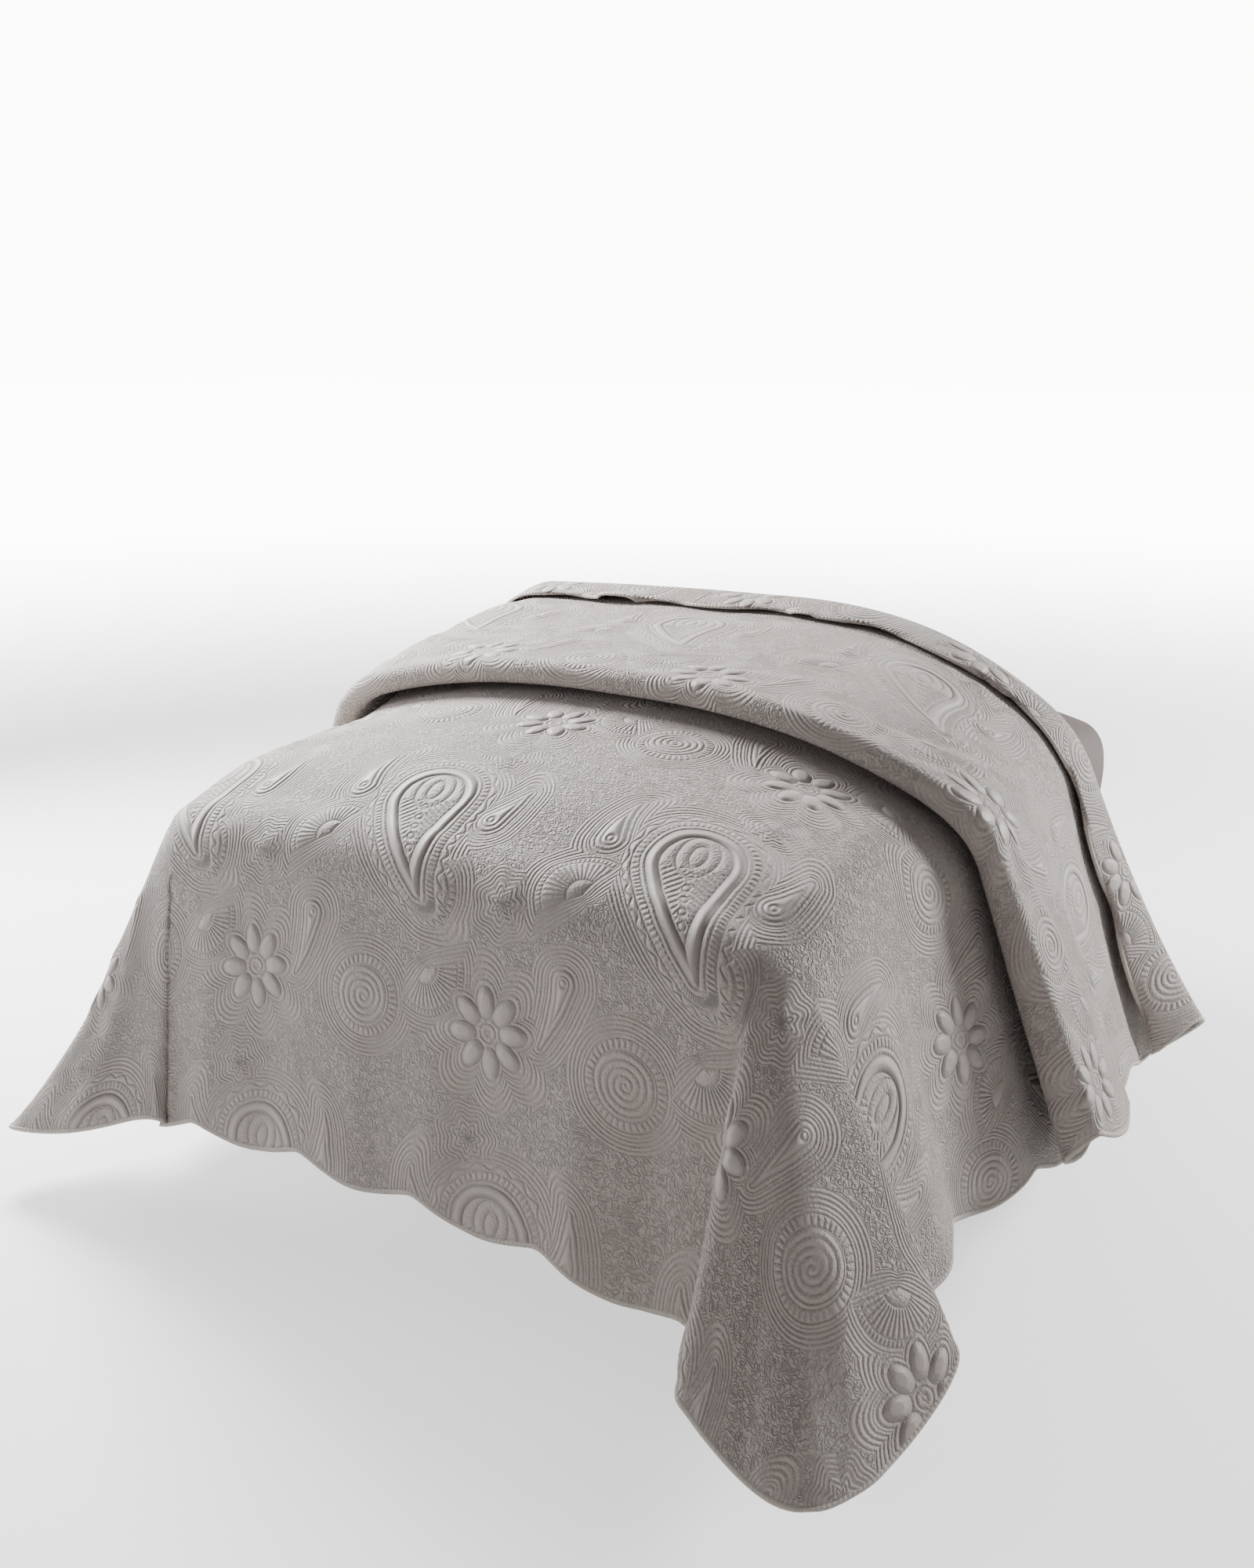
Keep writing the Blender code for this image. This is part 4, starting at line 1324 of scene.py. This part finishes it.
# %% [markdown]
# ## The mattress in its fitted sheet
#
# The bed's head end lies bare: a mattress in a smooth taupe sheet, stretched round its
# edges. It could stay the plain solid, but its surface is the one soft thing that shows
# behind the bedspread. So it is laid out like the cloth, on a grid that goes over the
# rounded edges and down the sides, with soft stretch folds at the corners and along the
# sides, and it is closed underneath.

# %% Make the mattress
BED_WIDTH = 1.35
BED_LENGTH = 1.89
PLATFORM_TOP = 0.4003
MATTRESS_CLEARANCE = 0.010
TURN_STEPS = 8
SKIRT_STEPS = 16
SHEET_FOLD = 0.0022
SHEET_EDGE_HEIGHT = 0.80
SHEET_EDGE_FADE = 0.1
SHEET_HEM_FADE = 0.06
DOWN = Vector((0, 0, -1))


def spread(i, steps, reach):
    """(place on the top, steps past its edge, side) of a grid line."""
    extra = TURN_STEPS + SKIRT_STEPS
    if i < extra:
        return -reach, extra - i, -1
    if i > steps + extra:
        return reach, i - steps - extra, 1
    return -reach + 2 * reach * (i - extra) / steps, 0, 0


def mattress_place(x, past_x, side_x, y, past_y, side_y):
    start = Vector((x, y, bed_top(x, y) - MATTRESS_CLEARANCE))
    past, least_past = max(past_x, past_y), min(past_x, past_y)
    if past == 0:
        return start
    lean = math.pi / 4 * least_past / past
    angle = lean if past_y >= past_x else math.pi / 2 - lean
    outward = tangent(x, y, (side_x * math.sin(angle), side_y * math.cos(angle)))
    room_x, room_y = BED_WIDTH / 2 - TOP_HALF_WIDTH, BED_LENGTH / 2 + FOOT_LINE
    room = room_x * math.sin(angle) ** 2 + room_y * math.cos(angle) ** 2
    turned = outward.angle(DOWN)
    radius = room / (1 - math.cos(turned))
    over = fall(start, outward, DOWN, radius, min(past / TURN_STEPS, 1) * radius * turned)
    share = max(past - TURN_STEPS, 0) / SKIRT_STEPS
    return over + share * (over.z - PLATFORM_TOP) * DOWN


def mattress_grid(steps_x=48, steps_y=64):
    extra = 2 * (TURN_STEPS + SKIRT_STEPS)
    rows, flat = [], []
    for j in range(steps_y + extra + 1):
        y = spread(j, steps_y, -FOOT_LINE)
        row = [mattress_place(*spread(i, steps_x, TOP_HALF_WIDTH), *y) for i in range(steps_x + extra + 1)]
        rows.append(row)
        flat.append([(0.022 * i, 0.025 * j) for i in range(steps_x + extra + 1)])
    return np.array(rows), np.array(flat)


mattress_points, mattress_flat = mattress_grid()
height = mattress_points[..., 2]
below_edge = smooth_steps((SHEET_EDGE_HEIGHT - height) / SHEET_EDGE_FADE)
hanging = below_edge * smooth_steps((height - PLATFORM_TOP) / SHEET_HEM_FADE)
around = mattress_points[..., 0] * 21 + mattress_points[..., 1] * 17
folds = SHEET_FOLD * np.sin(around + 5 * np.sin(9 * height)) * hanging
mattress_points = mattress_points + folds[..., None] * surface_normals(mattress_points)
fitted_sheet = grid_object("fitted_sheet", mattress_points, mattress_flat)
bpy.ops.object.mode_set(mode="EDIT")
bpy.ops.mesh.select_all(action="DESELECT")
bpy.ops.mesh.select_non_manifold()
bpy.ops.mesh.edge_face_add()
bpy.ops.mesh.quads_convert_to_tris()
bpy.ops.object.mode_set(mode="OBJECT")
close_seams(fitted_sheet)
print("the mattress has", len(fitted_sheet.data.polygons), "faces")

# %% [markdown]
# ## Sheet and base fabrics
#
# The fitted sheet is a smooth woven cotton, darker and browner than the bedspread, with
# faint creases from the packet that only a bump needs to show. The base is covered with
# a dark, coarser cloth. Its solids are right as they are, so they stay and only get a
# material. They have no cloth map, so the weave is read from their own coordinates,
# turned so that it runs along the upright faces.

# %% Fabrics of the bed


def bed_fabric(name, light, dark, roughness, threads, from_map):
    material, shader = plain_material(name, light, roughness)
    tree = material.node_tree
    Wire.tree = tree
    if from_map:
        place = tree.nodes.new("ShaderNodeUVMap")
        place.uv_map = "cloth"
        vector = place.outputs["UV"]
    else:
        place = tree.nodes.new("ShaderNodeTexCoord")
        split = tree.nodes.new("ShaderNodeSeparateXYZ")
        join = tree.nodes.new("ShaderNodeCombineXYZ")
        tree.links.new(place.outputs["Object"], split.inputs[0])
        level = Wire(split.outputs["X"]) + Wire(split.outputs["Y"])
        tree.links.new(level.output, join.inputs["X"])
        tree.links.new(split.outputs["Z"], join.inputs["Y"])
        vector = join.outputs[0]
    woven = add_group(tree, weave_group, vector, Threads_per_metre=threads)
    tone = mixed_colour(tree, light, dark, Wire(woven.outputs["Fade"]))
    tree.links.new(tone, shader.inputs["Base Color"])
    creases = rule("SINE", noise(tree, vector, 7.0) * 16.0) * 0.5 + 0.5
    normal = add_bump(tree, creases, 0.0012)
    tree.links.new(
        add_bump(tree, Wire(woven.outputs["Height"]), 0.4 / threads, normal), shader.inputs["Normal"]
    )
    return material


fitted_sheet.data.materials.append(
    bed_fabric("fitted sheet", (0.155, 0.125, 0.112), (0.115, 0.09, 0.08), 0.72, 1500.0, True)
)
base_fabric = bed_fabric("base fabric", (0.032, 0.028, 0.027), (0.018, 0.015, 0.015), 0.85, 420.0, False)
for name in ("bed_platform", "bed_plinth"):
    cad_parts[name].material_slots[0].material = base_fabric
print("fabrics:", ", ".join(m.name for m in bpy.data.materials if "fabric" in m.name or "sheet" in m.name))

# %% [markdown]
# ## What each piece stands for
#
# Each new piece rides on the one body and hides the solid that it replaces.

# %% Attach and hide
for piece, node, slot in (
    (quilt, "quilt", "quilted_cotton"),
    (binding, "binding", "bias_binding"),
    (fitted_sheet, "mattress", "fitted_sheet"),
):
    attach(piece, "root")
    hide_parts(node)
